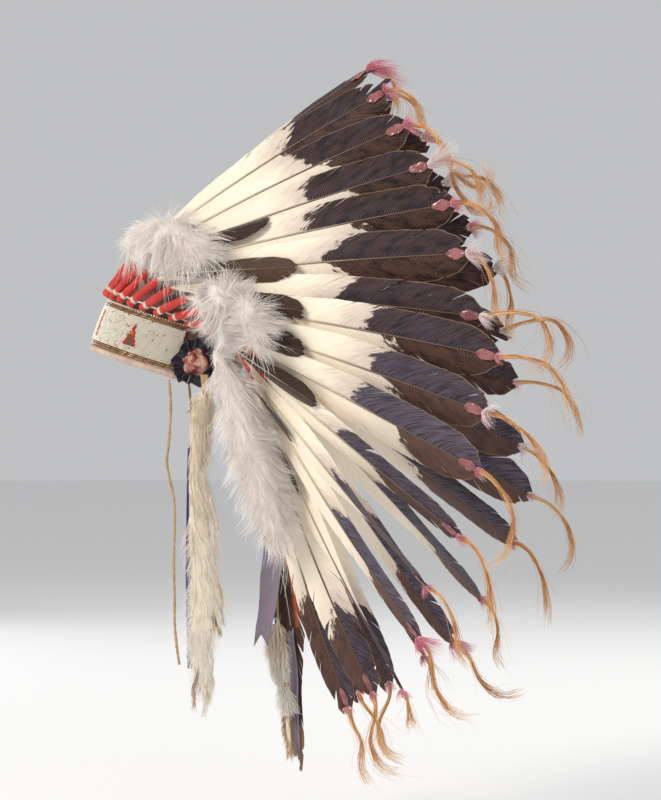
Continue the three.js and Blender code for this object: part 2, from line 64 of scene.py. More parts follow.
def unit(vectors):
    vectors = np.asarray(vectors, float)
    return vectors / np.maximum(np.linalg.norm(vectors, axis=-1, keepdims=True), 1e-9)


def smoothStep(share, low=0.0, high=1.0):
    share = np.clip((np.asarray(share, float) - low) / (high - low), 0, 1)
    return share * share * (3 - 2 * share)


def mix(first, second, share):
    return first + (second - first) * share


def lengthOf(path):
    return np.linalg.norm(np.diff(path, axis=0), axis=1).sum()


# A smooth curve through the rows of a table, at shares from 0 to 1
def alongRows(rows, share):
    rows = np.asarray(rows, float)
    spot = np.clip(np.asarray(share, float), 0, 1) * (len(rows) - 1)
    low = np.minimum(spot.astype(int), len(rows) - 2)
    part = (spot - low)[..., None]
    before, after = rows[np.maximum(low - 1, 0)], rows[np.minimum(low + 2, len(rows) - 1)]
    start, end = rows[low], rows[low + 1]
    slopeStart, slopeEnd = (end - before) / 2, (after - start) / 2
    square, cube = part ** 2, part ** 3
    return ((2 * cube - 3 * square + 1) * start + (cube - 2 * square + part) * slopeStart
            + (3 * square - 2 * cube) * end + (cube - square) * slopeEnd)


def aheadOf(path, share, near):
    return unit(alongRows(path, share + near) - alongRows(path, share - near))


# Three rows of a spine, its middle and two ways, at places along it
def alongSpine(spine, at):
    even = shares(len(spine[0]))
    return [np.stack([np.interp(at, even, part[:, k]) for k in range(3)], -1)
            for part in spine]


# A slow wandering field, so that hairs close together lean the same way
def drift(points, size, seed):
    rng = np.random.default_rng(seed)
    waves = rng.normal(size=(3, 4, 3)) / size
    phases = rng.uniform(0, 6.28, (3, 4))
    return np.stack([np.sin(points @ waves[k].T + phases[k]).mean(-1) for k in range(3)],
                    -1) * 1.4


# Straight strands from their roots, and the shares of their stations
def grown(roots, headings, reach, stations):
    along = shares(stations)[:, None]
    return roots[:, None] + headings[:, None] * reach[:, None, None] * along, along


# A ring round a line's middle, at a turn and a half size for each point
def ringed(middle, side, lift, turn, half):
    return middle + half[:, None] * (side * np.cos(turn)[:, None]
                                     + lift * np.sin(turn)[:, None])


# The cap: its pitch on the head, and places off it by the angle from the brow, the height
# above the rim and the distance out
cap = {"pitch": 17.5, "halfLength": 87, "halfWidth": 74, "depth": 103.5, "wall": 2,
       "squareness": 3, "around": 72, "rings": 25}
pitchTurn = np.array(Matrix.Rotation(-math.radians(cap["pitch"]), 3, "X"))


def onHead(points):
    return np.asarray(points, float) @ pitchTurn.T


def domeShare(height):
    share = np.clip(np.asarray(height, float) / (cap["depth"] + cap["wall"]), 0, 1)
    return (1 - share ** cap["squareness"]) ** (1 / cap["squareness"])


def offCap(angle, height, out):
    angle, height, out = np.broadcast_arrays(np.radians(angle), height, out)
    share = domeShare(height)
    across = (cap["halfWidth"] * share + out) * np.sin(angle)
    ahead = -(cap["halfLength"] * share + out) * np.cos(angle)
    return onHead(np.stack([across, ahead, height - cap["depth"]], -1))


def headingOf(rise, splay):
    rise, splay = np.radians(rise), np.radians(splay)
    return np.stack(np.broadcast_arrays(np.sin(splay), np.cos(splay) * np.cos(rise),
                                        np.cos(splay) * np.sin(rise)), -1)


# Meshes
def placed(name, data):
    thing = bpy.data.objects.new(name, data)
    bpy.context.scene.collection.objects.link(thing)
    return thing


def meshFrom(bm, name, smooth=True):
    mesh = bpy.data.meshes.new(name)
    bm.to_mesh(mesh)
    bm.free()
    if smooth:
        mesh.shade_smooth()
    return mesh


def pointsOf(mesh):
    points = np.empty(len(mesh.vertices) * 3)
    mesh.vertices.foreach_get("co", points)
    return points.reshape(-1, 3)


def movePoints(mesh, points):
    mesh.vertices.foreach_set("co", np.ascontiguousarray(points, np.float32).ravel())
    mesh.update()
    return mesh


def addValues(mesh, label, kind, values):
    layer = mesh.attributes.new(label, kind, "POINT")
    layer.data.foreach_set("value" if kind == "FLOAT" else "vector", np.ravel(values))


# A grid laid on a shape, which takes shares across and along and gives millimetres
def laidGrid(name, across, along, shape, closed=False, capped=False, thick=0.0):
    bm = bmesh.new()
    bm.loops.layers.uv.new("surface")
    bmesh.ops.create_grid(bm, x_segments=across, y_segments=along, size=0.5, calc_uvs=True)
    spots = np.array([vert.co for vert in bm.verts])[:, :2]
    spots = (spots - spots.min(0)) / np.ptp(spots, axis=0)
    for vert, point in zip(bm.verts, shape(spots[:, 0], spots[:, 1]) * mm):
        vert.co = point
    if closed:
        bmesh.ops.remove_doubles(bm, verts=bm.verts, dist=1e-6)
    if capped:
        bmesh.ops.holes_fill(bm, edges=[edge for edge in bm.edges if edge.is_boundary])
    bmesh.ops.recalc_face_normals(bm, faces=bm.faces)
    if thick:
        bmesh.ops.solidify(bm, geom=bm.faces[:], thickness=thick * mm)
    return meshFrom(bm, name)


# A tube along a path. Its half size is a number, a row of them for the path's points, or
# worked out from the turn round the tube and the share along it.
def tube(name, path, radius, sides=8, steps=None, upright=(0, 0, 1), near=0.01):
    path = np.asarray(path, float)

    def shape(across, along):
        ahead = aheadOf(path, along, near)
        side = unit(np.cross(ahead, upright))
        turn = across * fullTurn
        half = (radius(turn, along) if callable(radius) else
                np.interp(along, shares(len(path)), np.broadcast_to(radius, len(path))))
        return ringed(alongRows(path, along), side, np.cross(side, ahead), turn, half)
    return laidGrid(name, sides, steps or len(path) - 1, shape, closed=True, capped=True)


# Many fine strands of one piece, as bevelled curves made into a mesh
def strandMesh(name, paths, radii, seed=1):
    count, stations = paths.shape[:2]
    radii = np.broadcast_to(radii, stations).astype(float) * mm
    section = bpy.data.curves.new("section", "CURVE")
    spline = section.splines.new("POLY")
    spline.points.add(2)
    for k in range(3):
        turn = k * fullTurn / 3
        spline.points[k].co = (math.cos(turn), math.sin(turn), 0, 1)
    spline.use_cyclic_u = True
    curve = bpy.data.curves.new(name, "CURVE")
    curve.dimensions = "3D"
    curve.bevel_mode = "OBJECT"
    curve.bevel_object = placed("section", section)
    curve.use_fill_caps = True
    points = np.ones((count, stations, 4))
    points[..., :3] = paths * mm
    for strand in points:
        spline = curve.splines.new("POLY")
        spline.points.add(stations - 1)
        spline.points.foreach_set("co", strand.ravel())
        spline.points.foreach_set("radius", radii)
    holder = placed(name, curve)
    depsgraph = bpy.context.evaluated_depsgraph_get()
    mesh = bpy.data.meshes.new_from_object(holder.evaluated_get(depsgraph))
    for spent in (holder, curve.bevel_object):
        bpy.data.objects.remove(spent)
    # The caps' points come first, six to a strand
    order = np.arange(len(mesh.vertices))
    strand = np.where(order < 6 * count, order // 6, (order - 6 * count) // (3 * stations))
    tones = np.random.default_rng(seed).random(count)
    addValues(mesh, "tone", "FLOAT", tones[np.clip(strand, 0, count - 1)])
    mesh.shade_smooth()
    return mesh


# A piece joined from its meshes, each given with the name of its finish. On the right side
# the meshes made for the left are mirrored.
def addPiece(name, parts, node=None, mirrored=False):
    holders = []
    for mesh, finish in parts:
        mesh.materials.clear()
        mesh.materials.append(finishes[finish])
        holders.append(placed(name, mesh))
    piece = holders[0]
    if len(holders) > 1:
        with bpy.context.temp_override(active_object=piece, object=piece,
                                       selected_objects=holders,
                                       selected_editable_objects=holders):
            bpy.ops.object.join()
    if mirrored:
        movePoints(piece.data, pointsOf(piece.data) * flip).flip_normals()
    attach(piece, "root")
    if node:
        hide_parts(node)
    return piece


# A value in a material's nodes, which adds and multiplies as a number does
class Level:
    def __init__(self, tree, socket):
        self.tree, self.socket = tree, socket

    def by(self, operation, other=None):
        return madeNode(self.tree, "ShaderNodeMath", {0: self, 1: other}, operation=operation)

    def __add__(self, other):
        return self.by("ADD", other)

    def __sub__(self, other):
        return self.by("SUBTRACT", other)

    def __mul__(self, other):
        return self.by("MULTIPLY", other)

    def rise(self, low, high, kind="SMOOTHSTEP"):
        return madeNode(self.tree, "ShaderNodeMapRange",
                        {"Value": self, "From Min": low, "From Max": high},
                        interpolation_type=kind)


def feed(value, place):
    if isinstance(value, Level):
        value.tree.links.new(value.socket, place)
    elif value is not None:
        place.default_value = (*value, 1) if isinstance(value, tuple) else value


def madeNode(tree, kind, inputs, output=0, **settings):
    made = tree.nodes.new(kind)
    for key, value in settings.items():
        setattr(made, key, value)
    for key, value in inputs.items():
        feed(value, made.inputs[key])
    return Level(tree, made.outputs[output])


def noiseAt(vector, scale, detail=3, roughness=0.5):
    return madeNode(vector.tree, "ShaderNodeTexNoise", {
        "Vector": vector, "Scale": scale, "Detail": detail, "Roughness": roughness}, "Fac")


def blended(share, first, second):
    return madeNode(share.tree, "ShaderNodeMix", {0: share, 6: first, 7: second}, 2,
                    data_type="RGBA")


def ramp(source, *stops):
    made = madeNode(source.tree, "ShaderNodeValToRGB", {"Fac": source}, "Color")
    elements = made.socket.node.color_ramp.elements
    while len(elements) < len(stops):
        elements.new(0.5)
    for element, (place, colour) in zip(elements, stops):
        element.position, element.color = place, (*colour, 1)
    return made


class Finish:
    def __init__(self, name, roughness, metallic=0, sheen=0, coat=0, specular=0.5,
                 colour=(1, 1, 1)):
        self.material = bpy.data.materials.new(name)
        self.material.use_nodes = True
        self.tree = self.material.node_tree
        self.sockets = self.tree.nodes["Principled BSDF"].inputs
        for key, value in (("Base Color", colour), ("Roughness", roughness),
                           ("Metallic", metallic), ("Sheen Weight", sheen),
                           ("Coat Weight", coat), ("Specular IOR Level", specular)):
            feed(value, self.sockets[key])

    def place(self):
        return madeNode(self.tree, "ShaderNodeTexCoord", {}, "Object")

    def attribute(self, name, output="Vector"):
        return madeNode(self.tree, "ShaderNodeAttribute", {}, output, attribute_name=name)

    def parts(self, vector):
        made = madeNode(self.tree, "ShaderNodeSeparateXYZ", {0: vector})
        return [Level(self.tree, socket) for socket in made.socket.node.outputs]

    def paint(self, colour):
        feed(colour, self.sockets["Base Color"])

    def bump(self, height, distance, strength=1.0):
        feed(madeNode(self.tree, "ShaderNodeBump", {
            "Height": height, "Distance": distance, "Strength": strength}, "Normal"),
            self.sockets["Normal"])


# Noise along and across the barbs: a number for each place on the vane
def barbNoise(barbRoot, sideways, perShaft, perBarb, detail, roughness):
    spot = madeNode(barbRoot.tree, "ShaderNodeCombineXYZ",
                    {0: barbRoot * perShaft, 1: sideways * perBarb})
    return noiseAt(spot, 1, detail, roughness)


# Uneven cloth: threads or felt fibres, as a value about 0.5
def makeFibreGroup():
    group = bpy.data.node_groups.new("fibreMottle", "ShaderNodeTree")
    for label, way, kind in (("Place", "INPUT", "Vector"), ("Fineness", "INPUT", "Float"),
                             ("Mottle", "OUTPUT", "Float"), ("Height", "OUTPUT", "Float")):
        group.interface.new_socket(label, in_out=way, socket_type="NodeSocket" + kind)
    start, end = (group.nodes.new("NodeGroup" + kind) for kind in ("Input", "Output"))
    place, fineness = (Level(group, start.outputs[key]) for key in ("Place", "Fineness"))
    broad, fine = noiseAt(place, 60, 2), noiseAt(place, fineness, 5, 0.7)
    feed(fine * 0.5 + broad * 0.5, end.inputs["Mottle"])
    feed(fine, end.inputs["Height"])
    return group


fibreGroup = makeFibreGroup()


def mottled(name, dark, light, fineness=900, roughness=0.9, sheen=0.3, depth=0.0004, coat=0,
            metallic=0):
    finish = Finish(name, roughness, metallic, sheen, coat)
    fibres = madeNode(finish.tree, "ShaderNodeGroup", {}, node_tree=fibreGroup)
    node = fibres.socket.node
    feed(finish.place(), node.inputs["Place"])
    feed(fineness, node.inputs["Fineness"])
    finish.paint(ramp(fibres, (0.3, dark), (0.7, light)))
    finish.bump(Level(finish.tree, node.outputs["Height"]), depth)
    return finish.material


# Strands: every strand has a tone of its own
def stranded(name, tones, roughness=0.6, sheen=0.3):
    finish = Finish(name, roughness, 0, sheen)
    mixed = noiseAt(finish.place(), 70, 2) * 0.7 + (finish.attribute("tone", "Fac") * 0.75
                                                    - 0.22)
    finish.paint(ramp(mixed, *zip(shares(len(tones)), tones)))
    return finish.material


# In the dark parts, blue and sheen are painted sheen, colour standing in for light off the barbs
vaneColours = {"white": (0.90, 0.80, 0.65), "whiteShade": (0.78, 0.66, 0.52),
               "fade": (0.40, 0.29, 0.27), "dark": (0.008, 0.004, 0.004),
               "brown": (0.026, 0.011, 0.007), "blue": (0.012, 0.011, 0.021),
               "sheen": (0.15, 0.145, 0.21), "streak": (0.24, 0.12, 0.09),
               "paleBrown": (0.19, 0.115, 0.095), "margin": (0.33, 0.20, 0.11),
               "ridges": 785.375, "gloss": 0.16}  # ridges in radians along the shaft


# White at the foot, dark past an uneven edge that follows the barbs. A vane's "barbs" give
# the barb's root as a share of the shaft, the place along the barb (front half below 0)
# and the place along the shaft. Its "own" gives where the front and the rear half turn
# dark, and a number of its own.
# The edge attribute gives the slant, and a paleness: painted sheen in front, a paler brown
# behind
def makeVaneFinish():
    tones = vaneColours
    finish = Finish("eagleVane", 0.55, specular=tones["gloss"])
    barbRoot, barbSide, _ = finish.parts(finish.attribute("barbs"))
    darkFront, darkRear, ownNumber = finish.parts(finish.attribute("own"))
    slant, paleness, _ = finish.parts(finish.attribute("edge"))
    rear = barbSide.by("GREATER_THAN", 0)
    sideways = ownNumber * 40 + barbSide
    streak = barbNoise(barbRoot, sideways, 150, 1.3, 2, 0.6)
    broad = barbNoise(barbRoot, sideways, 24, 2.6, 3, 0.6)
    wander = barbNoise(barbRoot, sideways, 9, 1.4, 2, 0.5)
    ridge = (barbRoot * tones["ridges"] + wander * 26).by("SINE") * 0.5 + 0.5
    edge = barbRoot + (broad - 0.5) * 0.16 + (streak - 0.5) * 0.045
    edge = edge - (rear * (darkRear - darkFront) + darkFront)
    edge = edge + slant * barbSide.by("MINIMUM", 0)
    isDark = edge.rise(-0.008, 0.012)
    fade = edge.rise(-0.16, 0.02) * (rear * -0.35 + 0.75) * (streak * 1.3 + 0.15)
    white = ramp(streak, (0.26, tones["whiteShade"]), (0.45, tones["white"]))
    # Painted sheen: the front half's dark turns blue here and there, and paleness blends it to
    # silver. On the rear half the paleness is a real paler brown.
    paintedShine = paleness * (streak.rise(0.36, 0.66) * 0.7 + 0.2)
    front = ramp(wander, (0.42, tones["dark"]), (0.66, tones["blue"]))
    back = ramp(broad, (0.35, tones["dark"]), (0.6, tones["brown"]))
    dark = blended(rear, blended(paintedShine, front, tones["sheen"]),
                   blended(paleness * 0.6, back, tones["paleBrown"]))
    lines = ridge.rise(0.76, 1) * broad.rise(0.30, 0.62) * (rear * 0.15 + 0.75)
    rim = barbSide.by("ABSOLUTE").rise(0.965, 0.995)
    dark = blended(rim * 0.65, blended(lines, dark, tones["streak"]), tones["margin"])
    finish.paint(blended(isDark, blended(fade, white, tones["fade"]), dark))
    finish.bump((ridge * 0.35 + streak) * (isDark * 0.6 + 0.3), 0.0006, 0.5)
    return finish.material


def makeShaftFinish():
    finish = Finish("featherShaft", 0.35, 0, 0, 0.2)
    surface = madeNode(finish.tree, "ShaderNodeUVMap", {}, uv_map="surface")
    _, along, _ = finish.parts(surface)
    finish.paint(ramp(noiseAt(finish.place(), 40, 2) * 0.12 + along,
                      (0.3, (0.80, 0.68, 0.50)), (0.72, (0.12, 0.06, 0.035))))
    return finish.material


# The small feathers, one of them with a painted glow down its rear half, a bright stripe
# standing in for light shining through the vane, and a pale end
def makeCovertFinish(name, dark, light, pale, paintedGlowStripe=None):
    finish = Finish(name, 0.6, 0, 0.2, specular=vaneColours["gloss"])
    barbRoot, barbSide, along = finish.parts(finish.attribute("barbs"))
    paleness, _, ownNumber = finish.parts(finish.attribute("own"))
    streak = barbNoise(barbRoot, ownNumber * 40 + barbSide * 1.6, 60, 1, 3, 0.6)
    colour = ramp(streak * 0.6 + noiseAt(finish.place(), 60) * 0.4, (0.42, dark), (0.60, light))
    colour = blended(paleness * 0.6, colour, pale)
    if paintedGlowStripe:
        # Painted light: a bright stripe down the rear half, standing in for light shining
        # through it
        middle = (barbSide - 0.55).by("ABSOLUTE") + streak * 0.3
        reach = middle.rise(0.36, 0.18, "LINEAR") * along.by("LESS_THAN", 0.46)
        colour = blended(reach, colour, paintedGlowStripe)
        colour = blended(along.by("GREATER_THAN", 0.8) * 0.75, colour, pale)
    finish.paint(colour)
    finish.bump(streak, 0.0012, 0.6)
    return finish.material


def makeBeadFinish():
    finish = Finish("seedBeads", 0.22, 0, 0, 0.5)
    grime = ramp(noiseAt(finish.place(), 160), (0.3, (0.78, 0.76, 0.72)), (0.5, (1, 1, 1)))
    finish.paint(madeNode(finish.tree, "ShaderNodeMix", {
        0: 1, 6: finish.attribute("beadColour"), 7: grime}, 2, data_type="RGBA",
        blend_type="MULTIPLY"))
    return finish.material


def makeFoilFinish():
    finish = Finish("copperFoil", 0.2, 0.75, 0, 0.35)
    place = finish.place()
    finish.paint(ramp(noiseAt(place, 90), (0.38, (0.13, 0.022, 0.02)),
                      (0.48, (0.55, 0.16, 0.12)), (0.60, (0.88, 0.60, 0.48))))
    finish.bump(noiseAt(place, 170, 4, 0.6), 0.010)
    return finish.material


finishes = {
    "vane": makeVaneFinish(),
    "shaft": makeShaftFinish(),
    "covert": makeCovertFinish("smallBrownFeather", (0.006, 0.003, 0.002),
                               (0.042, 0.018, 0.010), (0.28, 0.155, 0.09)),
    # The hanging feather's last colour is a painted glow of light shining through its vane
    "hanging": makeCovertFinish("hangingFeather", (0.022, 0.012, 0.014), (0.085, 0.042, 0.030),
                                (0.30, 0.17, 0.09), (0.42, 0.085, 0.025)),
    "bead": makeBeadFinish(),
    "foil": makeFoilFinish(),
    "felt": mottled("capFelt", (0.10, 0.055, 0.036), (0.20, 0.115, 0.075)),
    "wool": mottled("redWool", (0.40, 0.012, 0.010), (0.72, 0.040, 0.025), 1400, 0.7, 0.15,
                    0.0006),
    "thread": mottled("paleThread", (0.55, 0.45, 0.33), (0.86, 0.78, 0.64), 3000, 0.8),
    "downCore": mottled("downCore", (0.72, 0.62, 0.58), (0.93, 0.85, 0.81), 500, 1, 0.2, 0.002),
    "tab": mottled("tipTab", (0.14, 0.018, 0.022), (0.66, 0.25, 0.24), 640, 0.42, 0, 0.003,
                   0.6),
    "bugle": mottled("amberBugle", (0.11, 0.050, 0.014), (0.42, 0.22, 0.075), 240, 0.16, 0,
                     0.0001, 0.6, 0.25),
    "backing": mottled("bandBacking", (0.14, 0.10, 0.07), (0.30, 0.23, 0.16)),
    "furCore": mottled("furHide", (0.56, 0.45, 0.31), (0.86, 0.77, 0.61), 700, 0.95),
    "hide": mottled("rimHide", (0.42, 0.27, 0.20), (0.70, 0.53, 0.42), 500, 0.85, 0.3, 0.0008),
    "thong": mottled("thongHide", (0.28, 0.16, 0.075), (0.58, 0.40, 0.20), 700, 0.8, 0.2,
                     0.0006),
    "ribbon": mottled("ribbonSilk", (0.20, 0.155, 0.21), (0.30, 0.24, 0.31), 2600, 0.45, 0.6,
                      0.0002),
    "blueCloth": mottled("blueCloth", (0.05, 0.045, 0.20), (0.12, 0.11, 0.36), 1800, 0.9, 0.5),
    "silk": mottled("pleatedSilk", (0.004, 0.002, 0.007), (0.014, 0.008, 0.022), 1500, 0.3,
                    0.12, 0.0002),
    "woolFuzz": stranded("redWoolFuzz", ((0.55, 0.03, 0.02), (0.85, 0.10, 0.06))),
    "down": stranded("whiteDown", ((0.84, 0.74, 0.68), (0.98, 0.92, 0.87),
                                   (0.99, 0.96, 0.93)), 0.9, 0.1),
    "tipDown": stranded("pinkTipDown", ((0.55, 0.06, 0.13), (0.82, 0.30, 0.38),
                                        (0.93, 0.66, 0.67)), 0.9, 0.3),
    "tipWhite": stranded("whiteTipDown", ((0.86, 0.50, 0.55), (0.92, 0.82, 0.80),
                                          (0.93, 0.90, 0.87)), 0.9, 0.5),
    "hair": stranded("goldenHorsehair", ((0.38, 0.13, 0.035), (0.66, 0.27, 0.07),
                                         (0.82, 0.44, 0.15), (0.92, 0.70, 0.42)), 0.38, 0.1),
    "fur": stranded("whiteFur", ((0.66, 0.53, 0.36), (0.96, 0.90, 0.80),
                                 (0.99, 0.97, 0.93)), 0.8, 0.2),
    "furTan": stranded("tanFur", ((0.22, 0.11, 0.045), (0.48, 0.29, 0.13),
                                  (0.68, 0.50, 0.30)), 0.8, 0.4),
}
print("finishes ready")


def aimed(name, data, place):
    thing = placed(name, data)
    thing.location = place
    look = Vector(lookout["target"]) - Vector(place)
    thing.rotation_euler = look.to_track_quat("-Z", "Y").to_euler()
    return thing


def addCamera():
    turn = math.radians(lookout["azimuth"])
    away = Vector((math.sin(turn), -math.cos(turn), 0)) * lookout["distance"]
    data = bpy.data.cameras.new("camera")
    data.sensor_width, data.lens = lookout["sensorWidth"], lookout["lens"]
    bpy.context.scene.camera = aimed("camera", data, Vector(lookout["target"]) + away)


def addStudio():
    for name, (place, size, power, colour) in lamps.items():
        data = bpy.data.lights.new(name, "AREA")
        data.size, data.energy, data.color = size, power, colour
        aimed(name, data, place)
    world = bpy.data.worlds.new("studio")
    world.use_nodes = True
    sky = world.node_tree.nodes["Background"].inputs
    feed(studio["skyColour"], sky["Color"])
    feed(studio["skyStrength"], sky["Strength"])
    bpy.context.scene.world = world
    bm = bmesh.new()
    bmesh.ops.create_circle(bm, cap_ends=True, segments=64, radius=studio["floorRadius"])
    bmesh.ops.translate(bm, vec=(0, 0, studio["floorHeight"]), verts=bm.verts)
    floor = placed("floor", meshFrom(bm, "floor", smooth=False))
    paper = Finish("floorPaper", 0.9, colour=studio["floorColour"])
    floor.data.materials.append(paper.material)
    bpy.context.scene.view_settings.view_transform = "Standard"


addCamera()
addStudio()

# The thongs, and a twig tied across the far one with a small white bead
twig = {"height": -152, "points": ((1.8, -7, -1), (1.9, -2, 0.4), (1.9, 3, 0), (1.8, 7, 1.4)),
        "thick": 0.6, "bead": 1.7, "beadAt": (2.6, -3.4, 0)}
thongs = {
    "out": 81, "radius": 1.6, "lobes": 2, "turns": 46, "steps": 150,
    "left": [(-10, -116), (-9, -127), (-8, -143), (-8.5, -162), (-10.5, -190), (-12.5, -209),
             (-9.5, -226), (-4, -254), (-3.5, -285), (-4.5, -322), (-3.5, -361),
             (-3.5, -389), (-1, -417), (2, -437)],
    "right": [(-19, -118), (-17.5, -134), (-16, -151), (-14, -176), (-10, -193),
              (-15, -212), (-11, -223), (-12, -270), (-12, -322), (-12, -361),
              (-11.5, -424)],
}


def ballMesh(around, rings, radius=1.0, place=(0, 0, 0)):
    bm = bmesh.new()
    bmesh.ops.create_uvsphere(bm, u_segments=around, v_segments=rings, radius=radius)
    bmesh.ops.translate(bm, vec=place, verts=bm.verts)
    return meshFrom(bm, "ball")


def addTwig(line):
    place = line[np.argmin(np.abs(line[:, 2] - twig["height"]))]
    stick = tube("twig", place + np.array(twig["points"]), twig["thick"], 6, steps=12)
    bead = ballMesh(16, 10, twig["bead"] * mm, (place + np.array(twig["beadAt"])) * mm)
    return addPiece("thongTwig", [(stick, "thong"), (bead, "thread")])


def addThong(side, way):
    route = np.array([(way * thongs["out"], y, z) for y, z in thongs[side]])
    line = alongRows(route, shares(thongs["steps"] + 1))

    def twisted(turn, along):
        twist = turn * thongs["lobes"] + along * thongs["turns"] * fullTurn
        wander = 0.1 * np.sin(along * 61 + 3) + 0.06 * np.sin(along * 143)
        return thongs["radius"] * (0.92 + 0.16 * np.cos(twist) + wander)
    mesh = tube("thong", route, twisted, 10, thongs["steps"], (0, 1, 0), 0.005)
    piece = addPiece(f"thongTie_{side}", [(mesh, "thong")], f"thong_{side}")
    extras = [addTwig(line)] if side == "right" else []
    tuple(line[0] * mm)
    (line * mm).tolist()


for side, way in sides.items():
    addThong(side, way)
print("thongs hung")


# The fan: one row for each feather from the crown to the nape. The right side's rise and
# length differ a little. The last four columns turn the horsehair lock.
fanSizes = {"aSide": 15, "halfLength": 91, "halfWidth": 78, "height": 56.5, "wrapLength": 52,
            "quillGap": 1.5, "bow": 9}
featherColumns = ("wrapRise", "wrapSplay", "rise", "splay", "length", "rightRise",
                  "rightLength", "width", "footRoll", "tipRoll", "hair", "root", "third",
                  "twoThirds", "end")
featherRows = (
    (55, 0, 37.5, 0, 352, 0, 0, 0.85, -15, -27, 70, 10, -50, -85, -110),
    (52, 3, 32, 3.5, 354, 1, -4, 1, -20, -20, 62, 15, -35, -70, -85),
    (48, 7, 25, 6.5, 354, 0, 4, 1, -20, -20, 150, 0, -70, -35, 120),
    (44, 12, 17.5, 9, 360, 0, -6, 1, -20, -20, 100, 20, -20, -75, -95),
    (40, 18, 11, 11, 368, -1, -8, 1, -20, -20, 108, 5, -40, -90, -30),
    (35, 23, 3.5, 12.5, 367, 0, 4, 1, -20, -20, 90, -30, -65, -85, -50),
    (29, 27, -6, 14, 370, -1, -5, 1, -20, -20, 130, 15, -5, -80, -150),
    (21, 30, -11, 15.5, 377, -4, -3, 1, -20, -20, 112, 5, -15, -60, -85),
    (11, 31, -19.5, 17.5, 361, -6, 26, 1, -20, -20, 105, -10, -35, -60, -95),
    (-3, 31, -28, 19, 359, -4, 46, 1, -20, -20, 120, -30, -60, -95, -140),
    (-20, 29, -38.5, 20, 360, -1, 44, 0.8, -10, -45, 115, -30, -65, -85, -100),
    (-37, 24, -48.5, 20.5, 354, -2, 50, 0.72, 22, -50, 95, -25, -60, -85, -50),
    (-52, 18, -55, 18, 373, -3, 36, 0.62, 30, -8, 110, -50, -85, -50, 5),
    (-66, 13, -62, 13.5, 397, 0, -12, 0.6, 30, -32, 40, -60, -75, -85, -80),
    (-76, 10, -67.5, 9.5, 378, -1, 6, 0.66, 30, 62, 105, -75, -105, -60, -5),
    (-82, 7, -73, 5, 382, 0, -8, 0.64, 30, 62, 85, -80, -60, -95, -60),
)


def makeFan(side):
    rows = dict(zip(featherColumns, np.array(featherRows, float).T))
    isRight = side == "right"
    if isRight:
        rows["rise"] = rows["rise"] + rows["rightRise"]
        rows["length"] = rows["length"] + rows["rightLength"]
    turn = np.arange(len(featherRows)) * fullTurn / (2 * fanSizes["aSide"] + 1)
    foot = onHead(np.stack([fanSizes["halfWidth"] * np.sin(turn),
                            -fanSizes["halfLength"] * np.cos(turn),
                            np.full(len(turn), fanSizes["height"] - cap["depth"])], -1))
    wrapAxis = headingOf(rows["wrapRise"], rows["wrapSplay"])
    return {"side": side, "isRight": isRight, "rows": rows, "foot": foot,
            "wrapAxis": wrapAxis, "axis": headingOf(rows["rise"], rows["splay"]),
            "start": foot + wrapAxis * (fanSizes["wrapLength"] + fanSizes["quillGap"]),
            "numbers": range(int(isRight), fanSizes["aSide"] + 1)}


def labelOf(fan, number):
    return f"{fan['side']}_{number:02d}" if number else "centre"


# Where a neighbouring shaft crosses the plane across this one
def crossing(fan, number, share, other):
    start, axis = fan["start"][number], fan["axis"][number]
    if 0 <= other <= fanSizes["aSide"]:
        otherStart, otherAxis = fan["start"][other], fan["axis"][other]
    else:
        other = -other if other < 0 else 2 * fanSizes["aSide"] + 1 - other
        otherStart, otherAxis = fan["start"][other] * flip, fan["axis"][other] * flip
    place = start + axis * (np.asarray(share)[:, None] * fan["rows"]["length"][number])
    reach = (place - otherStart) @ axis / (otherAxis @ axis)
    return otherStart + otherAxis * reach[:, None]


def vaneFrame(fan, number, share):
    axis = fan["axis"][number]
    across = crossing(fan, number, share, number + 1) - crossing(fan, number, share, number - 1)
    across = unit(across - (across @ axis)[:, None] * axis)
    return across, np.cross(across, axis)


# A place on the fan: row number, distance past the wrap, height above the shafts
def onFan(fan, place, distance, height):
    low = int(np.clip(math.floor(place), 0, fanSizes["aSide"] - 1))
    spots = []
    for number in (low, low + 1):
        share = np.clip(np.array([distance / fan["rows"]["length"][number]]), 0, 1)
        bulge = 4 * fanSizes["bow"] * share[0] * (1 - share[0])
        out = vaneFrame(fan, number, share)[1][0]
        spots.append(fan["start"][number] + fan["axis"][number] * distance
                     + out * (height + bulge))
    return mix(*spots, place - low)


# The tail feathers
vane = {"halfWidth": 30, "curl": 260, "barbAngle": 36, "clumps": 26, "alongBarb": 6,
        "smallClumps": 11, "alongSmallBarb": 4, "sharpFrom": 40, "thick": 0.55,
        "quillRadius": 2.2, "tipRadius": 0.55, "samples": 41, "notch": 0.035, "slip": 6.0,
        "uneven": 0.03, "lift": 0.14, "overlap": 0.12}
vaneOutline = ((0, 0.08), (0.06, 0.14), (0.13, 0.34), (0.27, 0.68), (0.5, 0.93), (0.74, 1),
               (0.9, 0.93), (0.965, 0.66), (1, 0.2))


def outlineOf(rows, half, samples):
    rows = np.array(rows, float)
    return np.c_[shares(samples), np.interp(shares(samples), *rows.T) * half]


